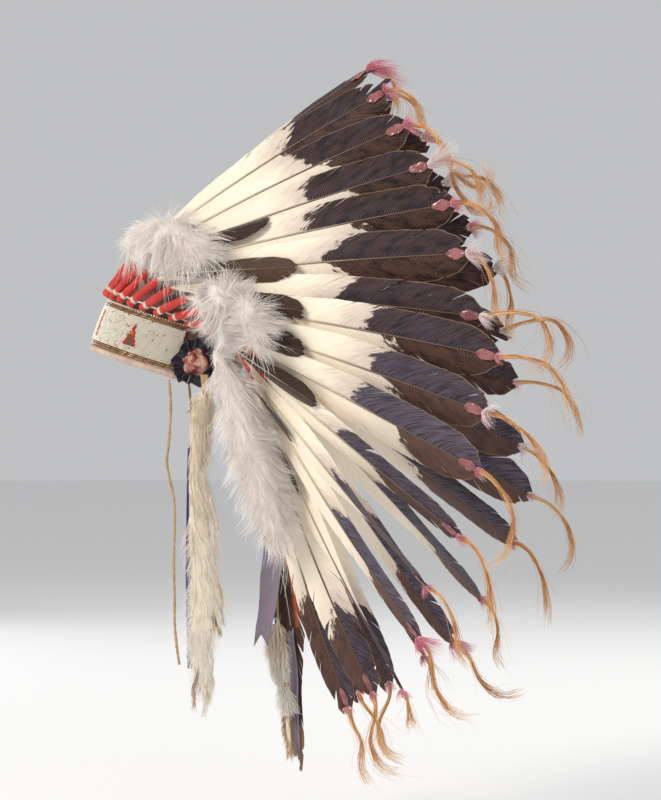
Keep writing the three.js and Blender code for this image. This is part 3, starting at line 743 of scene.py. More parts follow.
# Thin strips of barbs, lying side by side from the shaft to both edges. Each strip's own
# x and y run from 0 to 1 across it and along it, and z says which face.
def makeStrips(count, alongBarb):
    bm = bmesh.new()
    bmesh.ops.create_grid(bm, x_segments=2, y_segments=alongBarb, size=0.5)
    bmesh.ops.translate(bm, vec=(0.5, 0.5, 0), verts=bm.verts)
    bmesh.ops.solidify(bm, geom=bm.faces[:], thickness=1)
    strip = meshFrom(bm, "strip")
    bm = bmesh.new()
    for k in range(count):
        bm.from_mesh(strip)
    mesh = meshFrom(bm, "strips")
    mesh.set_sharp_from_angle(angle=math.radians(vane["sharpFrom"]))
    own = pointsOf(strip)
    own[:, 2] = np.where(own[:, 2] > own[:, 2].mean(), 1, -1)
    own[:, :2] = (own[:, :2] - own[:, :2].min(0)) / np.ptp(own[:, :2], axis=0)
    return mesh, np.tile(own, (count, 1)), np.repeat(np.arange(count), len(own))


strips = {"tail": makeStrips(2 * vane["clumps"], vane["alongBarb"]),
          "small": makeStrips(2 * vane["smallClumps"], vane["alongSmallBarb"])}


# A vane of barbs on a shaft. spine gives, at even shares of the shaft, its middle, the way
# across and the way out of its face; outline gives the half width in millimetres.
def barbedVane(spine, outline, length, seed, strip="tail", ragged=1.0, own=(0, 0, 0),
               edge=(0, 0, 0), angle=vane["barbAngle"], curl=vane["curl"]):
    template, place, number = strips[strip]
    clumps = (number.max() + 1) // 2
    rng = np.random.default_rng(seed)
    side = np.where(number < clumps, -1, 1)
    pick = ((side > 0).astype(int), number % clumps)
    # Where each barb leaves the shaft, for a barb that ends at each share of it
    ends = shares(400)
    slant = np.interp(ends, *outline.T) / math.tan(math.radians(angle)) / length
    roots = np.maximum.accumulate(ends - slant + ends * 1e-6)
    wobble = rng.uniform(-0.22, 0.22, (2, clumps + 1)) / clumps
    wobble[:, [0, -1]] = 0
    edges = shares(clumps + 1) + wobble
    x, w = place[:, 0], place[:, 1]
    draws = rng.uniform(-1, 1, (5, 2, clumps))
    outer = smoothStep(w, 0.45, 1)
    notch = vane["notch"] * (draws[0] + 1) ** 4 / 16 * ragged
    inset = 0.5 + (x - 0.5) * (1 - notch[pick] * outer)
    rootShare = mix(edges[pick], edges[pick[0], pick[1] + 1], inset) * roots[-1]
    end = np.interp(rootShare, roots, ends)
    tip = smoothStep(rootShare, 0.8, 1.0)
    slide = draws[1][pick] ** 7 * vane["slip"] * ragged / length
    along = rootShare + (end - rootShare) * w ** 1.45 + slide * outer * (1 + 1.5 * tip)
    reach = 1 + (draws[2] ** 3 * vane["uneven"] * ragged)[pick] * outer * (1 + 1.2 * tip)
    reach = reach - 0.015 * ragged * (x - 0.5) ** 2 * 4 * outer
    out = side * np.interp(end, *outline.T) * w * reach
    lift = (draws[3][pick] * vane["lift"] * ragged + vane["overlap"] * (x - 0.5)) * outer
    along = np.clip(along, 0, 1.03)
    at = np.clip(along, 0, 1)
    middle, across, face = alongSpine(spine, at)
    ahead = unit(np.gradient(spine[0], axis=0)[-1])
    thick = vane["thick"] * (1 - 0.5 * w) * place[:, 2] / 2
    height = -out ** 2 / curl + lift + thick
    points = (middle + ahead * ((along - at) * length)[:, None] + across * out[:, None]
              + face * height[:, None])
    mesh = movePoints(template.copy(), points * mm)
    addValues(mesh, "barbs", "FLOAT_VECTOR", np.stack([rootShare, side * w, at], -1))
    for label, values in (("own", own), ("edge", edge)):
        addValues(mesh, label, "FLOAT_VECTOR", np.tile(values, (len(points), 1)))
    return mesh


# A feather's spine at even shares, on the left side
def featherSpine(fan, number):
    share = shares(vane["samples"])
    rows = {key: column[number] for key, column in fan["rows"].items()}
    across, out = vaneFrame(fan, number, share)
    axis = fan["axis"][number]
    roll = np.radians(mix(rows["footRoll"], rows["tipRoll"],
                          smoothStep(share, 0.2, 0.8)))[:, None]
    turned = across * np.cos(roll) - np.cross(axis, across) * np.sin(roll)
    middle = (fan["start"][number] + axis * (share * rows["length"])[:, None]
              + out * (4 * fanSizes["bow"] * share * (1 - share))[:, None])
    return middle, turned, np.cross(turned, axis)


# What each feather shows: where its dark part starts on the front and the rear half and
# how that edge slants, its tuft of tip down and how white that is, how ragged its edges
# are, and how pale its dark part is: a painted sheen on the front half and a paler brown on
# the rear half
featherLooks = (
    (0.66, 0.66, 0.00, 2.0, 0.0, 1.3, 0.1), (0.62, 0.60, -0.05, 0.8, 0.0, 1.4, 0.1),
    (0.68, 0.71, -0.18, 1.0, 0.3, 0.8, 0.0), (0.60, 0.72, -0.10, 1.7, 0.9, 0.8, 0.0),
    (0.54, 0.69, -0.06, 0.7, 0.1, 0.8, 0.0), (0.54, 0.57, 0.00, 1.5, 0.7, 0.8, 0.1),
    (0.54, 0.66, -0.03, 0.7, 0.5, 0.8, 0.1), (0.58, 0.655, -0.05, 0.15, 0.3, 0.8, 0.2),
    (0.62, 0.655, -0.10, 0.9, 0.6, 0.9, 0.45), (0.55, 0.69, -0.10, 0.2, 0.4, 0.8, 0.7),
    (0.47, 0.64, 0.00, 0.2, 0.4, 1.2, 0.6), (0.50, 0.76, 0.00, 0.3, 0.1, 1.2, 0.8),
    (0.52, 0.72, 0.00, 1.3, 0.3, 0.8, 0.8), (0.72, 0.78, 0.00, 0.2, 0.3, 0.9, 0.4),
    (0.70, 0.74, 0.00, 0.15, 0.3, 1.4, 0.5), (0.60, 0.62, 0.00, 0.15, 0.3, 1.4, 0.4),
)


def addTailFeather(fan, number):
    label = labelOf(fan, number)
    seed = 100 + number + 40 * fan["isRight"]
    rng = np.random.default_rng(seed)
    front, rear, slant, _, _, ragged, pale = featherLooks[number]
    shift = fan["isRight"] * rng.uniform(-0.05, 0.05)
    spine = featherSpine(fan, number)
    outline = outlineOf(vaneOutline, fan["rows"]["width"][number] * vane["halfWidth"], 60)
    outline[:, 1] = np.maximum(vane["quillRadius"], outline[:, 1])
    # pale paints sheen on the dark front half and makes the rear half a paler brown
    barbs = barbedVane(spine, outline, fan["rows"]["length"][number], seed, ragged=ragged,
                       own=(front + shift, rear + shift, rng.uniform(0, 1)),
                       edge=(slant, pale, 0))
    middle, _, face = spine
    path = middle + face * mix(0.7, 0.35, shares(len(middle)))[:, None]
    path = np.vstack([path[0] - fan["axis"][number] * fanSizes["quillGap"], path[::2]])
    radius = mix(vane["quillRadius"], vane["tipRadius"], shares(len(path)) ** 0.8)
    shaft = tube("shaft", path, radius, 7, upright=tuple(face[20]))
    addPiece(f"tailFeather_{label}", [(barbs, "vane"), (shaft, "shaft")],
             f"feather_{label}", fan["isRight"])


fans = {side: makeFan(side) for side in sides}
for fan in fans.values():
    for number in fan["numbers"]:
        addTailFeather(fan, number)
print("tail feathers laid")

# Tabs, tip down and horsehair at the feather tips
tips = {"tabLength": 21, "tabHalf": 6, "tabThick": 1.5, "tabEnd": 5, "tabLift": 1.5,
        "smallTab": 0.6, "lastBigTab": 10, "whiteFrom": 0.45,
        "downHairs": 95, "downLength": 19, "downThick": 0.34, "hairs": 40, "hairThick": 0.42,
        "hairWander": 2.5, "hairSpread": 2.9, "hairSteps": 8, "strays": 9,
        "strayThick": 0.24, "strayWander": 19, "stations": 14}
plumes = {0: (0, 30, -18), 3: (4, 14, 12), 12: (0, 10, -2)}  # how a big tuft curves over


def tabMesh(spine, length, seed, size):
    last = 1 - tips["tabEnd"] / length
    first = last - tips["tabLength"] / length

    def shape(around, along):
        middle, across, face = alongSpine(spine, mix(first, last, along))
        turn = around * fullTurn
        half = tips["tabHalf"] * size * np.sin(math.pi * (0.03 + 0.9 * along)) ** 0.6
        half = half * (1 + 0.12 * np.sin(9 * along + seed))
        out = half * np.cos(turn)
        crumple = 0.8 * np.sin(out * 0.9 + 7 * along + seed) * np.sin(5 * along + 2 * seed)
        height = tips["tabLift"] + tips["tabThick"] / 2 * np.sin(turn) + crumple
        return middle + across * out[:, None] + face * height[:, None]
    return laidGrid("tab", 16, 16, shape, closed=True, capped=True)


def tuftPaths(number, spine, length, amount, seed):
    rng = np.random.default_rng(seed)
    count = int(tips["downHairs"] * min(0.45 + amount, 1.9))
    (tip,), (across,), (face,) = alongSpine(spine, np.array([1 - 4 / length]))
    ring = ringed(0, across, face, rng.uniform(0, fullTurn, count), np.ones(count))
    heading = unit(unit(spine[0][-1] - spine[0][-2])
                   + ring * (rng.random(count) ** 0.7 * 1.2)[:, None])
    reach = tips["downLength"] * (0.5 + 0.5 * amount) * rng.uniform(0.45, 1, count)
    root = tip + face * 2 + ring * rng.uniform(0, 3, count)[:, None]
    paths, along = grown(root, heading, reach, 5)
    bend = np.array(plumes.get(number, (0, 2, -3)), float)
    paths = paths + bend * along ** 2 * rng.uniform(0.5, 1, (count, 1, 1))
    return paths + drift(paths, 8, seed) * along * 4


def lockPath(fan, number):
    rows = {key: column[number] for key, column in fan["rows"].items()}
    stops = [rows[key] for key in ("root", "third", "twoThirds", "end")]
    change = 16 * math.sin(2.1 * number + 1) if fan["isRight"] else 0
    path = [fan["start"][number] + fan["axis"][number] * rows["length"]]
    for k in range(tips["hairSteps"]):
        share = (k + 0.5) / tips["hairSteps"]
        low = int(share * 3)
        rise = mix(stops[low], stops[low + 1], smoothStep(share * 3 - low))
        way = headingOf(rise + change, rows["splay"] * (1 - share))
        path.append(path[-1] + way * (rows["hair"] / tips["hairSteps"]))
    return np.array(path)


def hairPaths(path, count, wander, seed):
    rng = np.random.default_rng(seed)
    along = shares(tips["stations"])
    reach = rng.uniform(0.7, 1.08, count)[:, None] * along
    at = np.clip(reach, 0, 1)
    ahead = aheadOf(path, at, 0.03)
    middle = alongRows(path, at) + ahead * ((reach - at) * lengthOf(path))[..., None]
    side = unit(np.cross(ahead, (1.0, 0.15, 0.1)))
    turn = rng.uniform(0, fullTurn, count)[:, None] + rng.uniform(-3, 3, (count, 1)) * along
    spread = tips["hairSpread"] * rng.random((count, 1)) ** 0.5
    spread = spread * (1 - 0.45 * np.sin(math.pi * np.minimum(along * 1.4, 1))
                       + 1.3 * smoothStep(along, 0.65, 1))
    paths = middle + side * (np.cos(turn) * spread)[..., None]
    paths = paths + np.cross(side, ahead) * (np.sin(turn) * spread)[..., None]
    own = rng.normal(size=(count, 1, 3)) * 40
    stray = drift(paths + own * (wander > 5), 34, seed)
    return paths + stray * (wander * along ** 1.3)[None, :, None]


def addTassel(fan, number):
    seed = 300 + number + 40 * fan["isRight"]
    length = fan["rows"]["length"][number]
    amount, whiteness = featherLooks[number][3:5]
    spine, lock = featherSpine(fan, number), lockPath(fan, number)
    tuft = tuftPaths(number, spine, length, amount, seed)
    hairs = hairPaths(lock, tips["hairs"], tips["hairWander"], seed)
    strays = hairPaths(lock, tips["strays"], tips["strayWander"], seed + 1)
    taper = np.linspace(1, 0.35, tips["stations"])
    size = tips["smallTab"] if number > tips["lastBigTab"] else 1
    addPiece(f"tipTassel_{labelOf(fan, number)}", [
        (tabMesh(spine, length, seed, size), "tab"),
        (strandMesh("tuft", tuft, tips["downThick"] * np.linspace(1, 0.3, 5), seed),
         "tipWhite" if whiteness > tips["whiteFrom"] else "tipDown"),
        (strandMesh("lock", hairs, tips["hairThick"] * taper, seed), "hair"),
        (strandMesh("strays", strays, tips["strayThick"] * taper, seed), "hair")],
        mirrored=fan["isRight"])


for fan in fans.values():
    for number in fan["numbers"]:
        addTassel(fan, number)
print("tips tied")

# The down: a soft core in each solid's place, covered with fine strands
rosette = {"angle": 120, "height": 17.5, "radius": 27, "pleats": 13, "out": 2.6, "wall": 0.7}
downs = {"shrink": 4.5, "strands": 3600, "thick": 0.27, "stations": 4,
         "lowerGain": 0.35, "forwardLoss": 0.6, "leastOut": 0.45, "clearOfRosette": 33}
downParts = {"front": {"outward": 0.9, "length": (17, 31), "flow": 0.1, "drop": 0.75},
             "middle": {"outward": 0.85, "length": (15, 28), "flow": 0.15, "drop": 0.35},
             "back": {"outward": 0.6, "length": (15, 29), "flow": 0.3, "drop": 0.45}}


def coreOf(node, shrink):
    bm = bmesh.new()
    bm.from_mesh(bpy.data.objects[node].data)
    bmesh.ops.remove_doubles(bm, verts=bm.verts, dist=1e-5)
    bmesh.ops.subdivide_edges(bm, edges=bm.edges[:], cuts=1, use_grid_fill=True)
    for _ in range(3):
        bmesh.ops.smooth_vert(bm, verts=bm.verts, factor=0.5, use_axis_x=True,
                              use_axis_y=True, use_axis_z=True)
    bmesh.ops.recalc_face_normals(bm, faces=bm.faces)
    bm.normal_update()
    inner = [vert.co - vert.normal * shrink * mm for vert in bm.verts]
    for vert, place in zip(bm.verts, inner):
        vert.co = place
    return meshFrom(bm, "core")


def scatterOn(mesh, count, rng):
    mesh.calc_loop_triangles()
    corners = np.empty(len(mesh.loop_triangles) * 3, int)
    mesh.loop_triangles.foreach_get("vertices", corners)
    points = pointsOf(mesh)[corners.reshape(-1, 3)] / mm
    normals = np.cross(points[:, 1] - points[:, 0], points[:, 2] - points[:, 0])
    area = np.linalg.norm(normals, axis=1)
    chosen = rng.choice(len(area), count, p=area / area.sum())
    first, second = rng.random((2, count, 1))
    over = first + second > 1
    first, second = np.where(over, 1 - first, first), np.where(over, 1 - second, second)
    base = points[chosen]
    spots = base[:, 0] + (base[:, 1] - base[:, 0]) * first + (base[:, 2] - base[:, 0]) * second
    return spots, unit(normals[chosen])


def addDown(side, part, seed):
    look = downParts[part]
    core = coreOf(f"fluff_{part}_{side}", downs["shrink"])
    rng = np.random.default_rng(seed)
    spots, outward = scatterOn(core, downs["strands"], rng)
    away = spots - np.array((0, -20, 20))
    away[:, 0] = 0
    flow = unit(away) * look["flow"] + np.array((0, 0.1, -look["drop"]))
    heading = unit(outward * look["outward"] + flow + drift(spots, 15, seed) * 1.1)
    facing = (heading * outward).sum(-1, keepdims=True)
    heading = unit(heading + outward * np.maximum(downs["leastOut"] - facing, 0))
    reach = rng.uniform(*look["length"], len(spots)) * rng.uniform(0.75, 1.25, len(spots))
    reach = reach * (1 + downs["lowerGain"] * np.maximum(-outward[:, 2] - 0.1, 0))
    if part == "front":
        reach = reach * (1 - downs["forwardLoss"] * smoothStep(-outward[:, 1], 0.2, 0.9))
    paths, along = grown(spots - outward * 1.5, heading, reach, downs["stations"])
    paths = paths + (flow * reach[:, None] * 0.35)[:, None] * along ** 2
    paths = paths + drift(paths, 9, seed + 1) * along * 6.5
    # Strands are pushed clear of the rosette
    fromRosette = paths - offCap(rosette["angle"] * sides[side], rosette["height"], 8)
    fromRosette[..., 0] = 0
    near = np.linalg.norm(fromRosette, axis=-1, keepdims=True)
    paths = paths + unit(fromRosette) * np.maximum(downs["clearOfRosette"] - near, 0)
    taper = downs["thick"] * np.linspace(1, 0.3, downs["stations"])
    addPiece(f"downTuft_{part}_{side}", [
        (core, "downCore"), (strandMesh("strands", paths, taper, seed), "down")],
        f"fluff_{part}_{side}")


for k, side in enumerate(sides):
    for j, part in enumerate(downParts):
        addDown(side, part, 500 + 10 * k + j)
print("down fluffed")

# The small brown feathers over the down. Their columns: place by row, where the tip is,
# half width, paleness. Then the long dark one behind, by y, z and half width.
coverts = {"foot": 22, "height": 10.5, "threadAt": 25, "threadFrom": 1.5, "threadTo": 12.7,
           "threadThick": 0.5, "barbAngle": 30, "curl": 45, "roll": 14}
covertRows = ((1.6, 70, 9, 0.85), (3.4, 166, 17, 0.02), (5.2, 172, 15, 0.35),
              (6.7, 158, 15, 0.12), (8.1, 142, 14, 0.08), (9.5, 152, 13, 0.1),
              (11.2, 118, 9, 0.05), (12.6, 150, 8, 0.05))
covertOutline = ((0, 0.12), (0.2, 0.5), (0.55, 0.95), (0.8, 1), (0.93, 0.72), (1, 0.15))
hanging = {"x": -9.5, "curl": 180, "barbAngle": 18, "samples": 30}
hangingRows = ((85, -238, 3), (91, -293, 9), (105, -343, 15), (114, -393, 18),
               (118, -433, 12), (122, -483, 6), (126, -533, 5), (127, -568, 1.5))


def addCoverts(fan):
    parts = []
    for k, (place, reach, half, pale) in enumerate(covertRows):
        middle = np.array([onFan(fan, place, mix(coverts["foot"], reach, share),
                                 coverts["height"]) for share in shares(12)])
        axis = unit(np.gradient(middle, axis=0))
        across = onFan(fan, place + 0.5, 60, 0) - onFan(fan, place - 0.5, 60, 0)
        across = unit(across - (axis @ across)[:, None] * axis)
        rng = np.random.default_rng(700 + k)
        roll = np.radians(rng.uniform(-coverts["roll"], coverts["roll"]))
        across = across * math.cos(roll) + np.cross(across, axis) * math.sin(roll)
        spine = (middle, across, np.cross(across, axis))
        parts += [(barbedVane(spine, outlineOf(covertOutline, half, 40),
                              reach - coverts["foot"], 700 + k, "small", 0.8,
                              (pale, 0, rng.random()), angle=coverts["barbAngle"],
                              curl=coverts["curl"]), "covert"),
                  (tube("shaft", middle + spine[2] * 0.6, np.linspace(0.9, 0.3, 12), 6,
                        upright=tuple(spine[2][5])), "shaft")]
    thread = [onFan(fan, place, coverts["threadAt"], coverts["height"])
              for place in np.linspace(coverts["threadFrom"], coverts["threadTo"], 40)]
    parts.append((tube("thread", thread, coverts["threadThick"], 5, 80, (1, 0, 0)), "thread"))
    addPiece(f"smallFeathers_{fan['side']}", parts,
             f"coverts_{fan['side']}", fan["isRight"])


def addHangingFeather():
    share = shares(hanging["samples"])
    y, z, half = alongRows(hangingRows, share).T
    middle = np.c_[np.full(len(y), hanging["x"]), y, z]
    axis = unit(np.gradient(middle, axis=0))
    across = unit(np.cross((1.0, 0, 0), axis))
    spine = (middle, across, np.cross(across, axis))
    barbs = barbedVane(spine, np.c_[share, np.maximum(half, 1)], lengthOf(middle), 760,
                       "tail", 1.5, (0.1, 0, 0.3), angle=hanging["barbAngle"],
                       curl=hanging["curl"])
    shaft = tube("shaft", middle + spine[2] * 0.5, mix(1.3, 0.4, share), 6,
                 upright=(1, 0, 0))
    addPiece("darkHangingFeather", [(barbs, "hanging"), (shaft, "shaft")],
             "hanging_feather")


for fan in fans.values():
    addCoverts(fan)
addHangingFeather()
print("small feathers added")


# The felt cap: a circle drawn up ring by ring into a dome
def addCap():
    bm = bmesh.new()
    heights = (cap["depth"] + cap["wall"]) * np.sin(shares(cap["rings"] + 1) * math.pi / 2)
    bmesh.ops.create_circle(bm, cap_ends=False, segments=cap["around"], radius=1)
    edges = bm.edges[:]
    share = 1.0
    for height, wide in zip(heights[1:-1], domeShare(heights[1:-1])):
        made = bmesh.ops.extrude_edge_only(bm, edges=edges)["geom"]
        ring = [part for part in made if isinstance(part, bmesh.types.BMVert)]
        edges = [part for part in made if isinstance(part, bmesh.types.BMEdge)]
        bmesh.ops.scale(bm, vec=(wide / share, wide / share, 1), verts=ring)
        bmesh.ops.translate(bm, vec=(0, 0, height - ring[0].co.z), verts=ring)
        share = wide
    top = bmesh.ops.extrude_edge_only(bm, edges=edges)["geom"]
    ring = [part for part in top if isinstance(part, bmesh.types.BMVert)]
    bmesh.ops.translate(bm, vec=(0, 0, heights[-1] - ring[0].co.z), verts=ring)
    bmesh.ops.pointmerge(bm, verts=ring, merge_co=(0, 0, heights[-1]))
    bmesh.ops.recalc_face_normals(bm, faces=bm.faces)
    bmesh.ops.scale(bm, vec=(cap["halfWidth"] * mm, cap["halfLength"] * mm, mm),
                    verts=bm.verts)
    bmesh.ops.translate(bm, vec=(0, 0, -cap["depth"] * mm), verts=bm.verts)
    bmesh.ops.solidify(bm, geom=bm.faces[:], thickness=cap["wall"] * mm)
    bmesh.ops.rotate(bm, cent=(0, 0, 0), verts=bm.verts,
                     matrix=Matrix.Rotation(-math.radians(cap["pitch"]), 3, "X"))
    addPiece("feltCap", [(meshFrom(bm, "cap"), "felt")], "cap")


addCap()
print("cap shaped")

# The beaded brow band. Marks are set by angle from the brow and height above the rim.
band = {"end": 108, "bottom": 5.5, "top": 47.5, "backOut": 1.1, "backThick": 0.9,
        "beadOut": 2.75, "spacing": 2.3, "pitch": 1.82, "bead": 0.98, "lean": 65,
        "bars": (24.5, 28.0), "barHalf": 15, "figureAt": 68.5, "figureFoot": 13,
        "figureTop": 38, "stepHigh": 4.2, "stepWide": 0.95, "missing": 0.004, "grimy": 0.02}
beadColours = {"white": (0.93, 0.87, 0.74), "red": (0.55, 0.035, 0.02),
               "green": (0.03, 0.16, 0.06), "orange": (0.75, 0.24, 0.03),
               "dirty": (0.52, 0.42, 0.30)}


def copiesOf(mesh, turns, places, colours=None):
    bm = bmesh.new()
    for _ in range(len(places)):
        bm.from_mesh(mesh)
    whole = meshFrom(bm, "copies")
    points = np.einsum("nij,pj->npi", turns, pointsOf(mesh)) + places[:, None]
    movePoints(whole, points.reshape(-1, 3) * mm)
    if colours is not None:
        addValues(whole, "beadColour", "FLOAT_VECTOR",
                  np.repeat(colours, len(mesh.vertices), 0))
    return whole


# Frames for small things on the cap: their ways along, out and up, each at its own size
def capFrames(angle, height, out, size, lean=0.0):
    places = offCap(angle, height, out)
    across = unit(offCap(angle + 0.4, height, out) - offCap(angle - 0.4, height, out))
    up = unit(offCap(angle, height + 1, out) - offCap(angle, height - 1, out))
    face = unit(np.cross(across, up))
    face = face * np.sign((face * (places - onHead((0, 0, -60)))).sum(-1, keepdims=True))
    tilt = math.radians(lean)
    turned = up * math.cos(tilt) + across * math.sin(tilt)
    turns = np.stack([np.cross(turned, face) * size[0], face * size[1], turned * size[2]], -1)
    return turns, places


# Degrees round the cap for a distance along it, at each angle
def degreesFor(angle, distance):
    turn = np.radians(angle)
    return np.degrees(distance / np.hypot(cap["halfWidth"] * np.cos(turn),
                                          cap["halfLength"] * np.sin(turn)))


# Angles at an even spacing along the band, the same on both sides of the brow
def beadAngles(spacing):
    angles = [0.0]
    while angles[-1] < band["end"]:
        angles.append(angles[-1] + float(degreesFor(angles[-1], spacing)))
    angles = np.array(angles)
    return np.concatenate([-angles[:0:-1], angles])


def addBand():
    rng = np.random.default_rng(41)

    def backing(across, along):
        return offCap(mix(-band["end"], band["end"], along),
                      mix(band["bottom"], band["top"], across), band["backOut"])
    back = laidGrid("backing", 4, 120, backing, thick=band["backThick"])
    rows = np.arange(band["bottom"] + 0.9, band["top"] - 0.5, band["pitch"])
    angle, height = (grid.ravel() for grid in np.meshgrid(beadAngles(band["spacing"]), rows,
                                                          indexing="ij"))
    middle = (band["bottom"] + band["top"]) / 2
    slope = (height - middle) / math.tan(math.radians(band["lean"]))
    angle = angle + degreesFor(angle, slope)
    wave = drift(np.c_[angle, height, height * 0], 14, 3)
    angle = angle + wave[:, 0] * 0.25
    height = height + wave[:, 1] * 0.35
    colours = np.tile(beadColours["white"], (len(angle), 1))
    colours = colours * rng.uniform(0.86, 1.08, (len(angle), 1))
    side = np.abs(angle)
    fromFigure = np.abs(side - band["figureAt"])
    bar = ((side > band["bars"][0]) & (side < band["bars"][1])
           & (np.abs(height - middle) < band["barHalf"]))
    rise = height - band["figureFoot"]
    steps = np.floor((band["figureTop"] - height) / band["stepHigh"])
    figure = (rise > 0) & (steps >= 0) & (fromFigure < (steps + 0.7) * band["stepWide"])
    colours[bar | figure] = beadColours["red"]
    colours[figure & (fromFigure < 1.3) & (rise < 9)] = beadColours["green"]
    colours[figure & (fromFigure < 1.6) & (np.abs(rise - 15) < 2)] = beadColours["orange"]
    colours[rng.random(len(angle)) < band["grimy"]] = beadColours["dirty"]
    # Beads are missing here and there, and a few whole strings near the ends
    gap = rng.random(len(angle)) < band["missing"] * (1 + 2 * (side > 80))
    lost = (np.sin(np.round(angle * 0.9) * 12.9) > 0.9) & (side > 78) & (wave[:, 2] > 0.4)
    keep = (side < band["end"] - 0.6) & ~gap & ~lost
    size = (band["spacing"] * 0.49, band["bead"], band["pitch"] * 0.5)
    frames = capFrames(angle[keep], height[keep], band["beadOut"], size, 90 - band["lean"])
    beads = copiesOf(ballMesh(6, 4), *frames, colours[keep])
    addPiece("beadedBand", [(back, "backing"), (beads, "bead")], "brow_band")


# Two strings of tube beads along each edge of the band, and small white beads on top
edging = {"beadLong": 11.6, "beadThick": 1.12, "apart": 1.18, "shift": 1.4, "out": 2.9,
          "heights": {"upper": 50.15, "lower": 2.85}, "whiteBead": 1.25, "whiteStep": 3.6,
          "whiteRise": 3.1}


def bugleMesh():
    bm = bmesh.new()
    bmesh.ops.create_cone(bm, cap_ends=True, segments=7, radius1=1, radius2=1, depth=2)
    rims = [edge for edge in bm.edges
            if abs(edge.verts[0].co.z - edge.verts[1].co.z) < 0.1]
    bmesh.ops.bevel(bm, geom=rims, offset=0.22, segments=1, profile=0.5, affect="EDGES",
                    material=-1)
    return meshFrom(bm, "bugle")


def addEdging(edge, height):
    angles = beadAngles(edging["beadLong"])
    angles = (angles[:-1] + angles[1:]) / 2
    angles = angles[np.abs(angles) < band["end"] - 2.5]
    heights = np.repeat((height - edging["apart"], height + edging["apart"]), len(angles))
    size = (edging["beadThick"], edging["beadThick"], edging["beadLong"] * 0.48)
    frames = capFrames(np.concatenate([angles, angles + edging["shift"]]), heights,
                       edging["out"], size, 90)
    parts = [(copiesOf(bugleMesh(), *frames), "bugle")]
    if edge == "upper":
        spots = beadAngles(edging["whiteStep"])
        spots = spots[np.abs(spots) < band["end"] - 1]
        frames = capFrames(spots, height + edging["whiteRise"], edging["out"] - 0.4,
                           (edging["whiteBead"],) * 3)
        parts.append((copiesOf(ballMesh(8, 5), *frames,
                               np.tile(beadColours["white"], (len(spots), 1))), "bead"))
    addPiece(f"bugleEdging_{edge}", parts, f"{edge}_edging")


addBand()
for edge, height in edging["heights"].items():
    addEdging(edge, height)
print("band beaded")

# The wool wraps over the quills, bound with pale thread, and the lacing through them
wraps = {"radius": 5, "threadAt": 10, "threadTurns": 4, "threadStep": 0.95, "fuzz": 46,
         "fuzzLength": 3.2, "fuzzThick": 0.12}
lacing = {"thick": 1.0, "loose": ((3, -4, -2), (3, -10, -0.5), (3, -15, -1.5), (4.5, -18, 0.5),
                                   (3.5, -16, 2), (2.5, -14, 0)), "looseThick": 0.55}


def wrapParts(fan, number, seed):
    foot, axis = fan["foot"][number], fan["wrapAxis"][number]
    long, radius, fuzz = fanSizes["wrapLength"], wraps["radius"], wraps["fuzz"]
    side = unit(np.cross(axis, (0, 0, 1.0)))
    lift = np.cross(side, axis)
    rng = np.random.default_rng(seed)
    phase = rng.uniform(0, 6.28)

    def shape(around, along):
        turn = around * fullTurn
        half = radius * (0.93 + 0.05 * np.sin(9 * along + phase)
                         + 0.03 * np.sin(3 * turn + 14 * along))
        pinch = np.exp(-((along * long - wraps["threadAt"]) / 2.4) ** 2)
        ends = smoothStep(along, 0, 0.03) * (1 - 0.6 * smoothStep(along, 0.95, 1))
        half = half * (1 - 0.22 * pinch) * (0.55 + 0.45 * ends)
        return ringed(foot + axis * (along * long)[:, None], side, lift, turn, half)
    parts = [(laidGrid("wool", 12, 24, shape, closed=True, capped=True), "wool")]
    for k in range(wraps["threadTurns"]):
        at = foot + axis * (wraps["threadAt"] - 1.5 + k * wraps["threadStep"])
        ring = ringed(at, side, lift, shares(13) * fullTurn, np.full(13, radius * 0.86))
        parts.append((tube("thread", ring, 0.5, 5, upright=tuple(axis)), "thread"))
    turn, spot = rng.uniform(0, fullTurn, fuzz), rng.uniform(2, long, fuzz)
    out = ringed(0, side, lift, turn, np.ones(fuzz))
    root = foot + axis * spot[:, None] + out * radius * 0.88
    heading = unit(out + axis * rng.uniform(-0.9, 0.9, (fuzz, 1))
                   + rng.normal(size=(fuzz, 3)) * 0.5)
    paths, _ = grown(root, heading, rng.uniform(0.4, 1, fuzz) * wraps["fuzzLength"], 3)
    paths[:, 2] += rng.normal(size=(fuzz, 3)) * 0.4
    return parts + [(strandMesh("fuzz", paths, wraps["fuzzThick"], seed), "woolFuzz")]


def addWraps(fan):
    parts = []
    for number in fan["numbers"]:
        parts += wrapParts(fan, number, 800 + number)
    line = (fan["foot"] + fan["wrapAxis"] * wraps["threadAt"])[fan["numbers"][0]:]
    parts.append((tube("lacing", line, lacing["thick"], 6, 150, (1, 0, 0.2)), "thread"))
    if not fan["isRight"]:
        parts.append((tube("looseEnd", line[0] + np.array(lacing["loose"]),
                           lacing["looseThick"], 6, 24), "thread"))
    addPiece(f"woolWraps_{fan['side']}", parts, f"wraps_{fan['side']}",
             fan["isRight"])


for fan in fans.values():
    addWraps(fan)
print("quills wrapped")

# The padded roll along the rim, drawn in by its whipping stitches
roll = {"radius": 4, "below": 4.35, "creases": 62, "crease": 0.2}


def addRoll():
    up = onHead((0, 0, 1))

    def shape(around, along):
        angle, turn = along * 360, around * fullTurn
        rim = offCap(angle, 0, 0)
        spot = along * roll["creases"] + 0.06 * np.sin(turn) + 0.1 * np.sin(along * 90)
        crease = np.abs(np.sin(math.pi * spot)) ** 0.4
        half = roll["radius"] * (1 - roll["crease"] + roll["crease"] * crease
                                 - 0.03 * (1 + np.sin(along * 55 + 1)))
        return ringed(rim - up * roll["below"], unit(offCap(angle, 0, 10) - rim), up, turn, half)
    mesh = laidGrid("roll", 12, 620, shape, closed=True)
    addPiece("rimPadding", [(mesh, "hide")], "rim_roll")


addRoll()

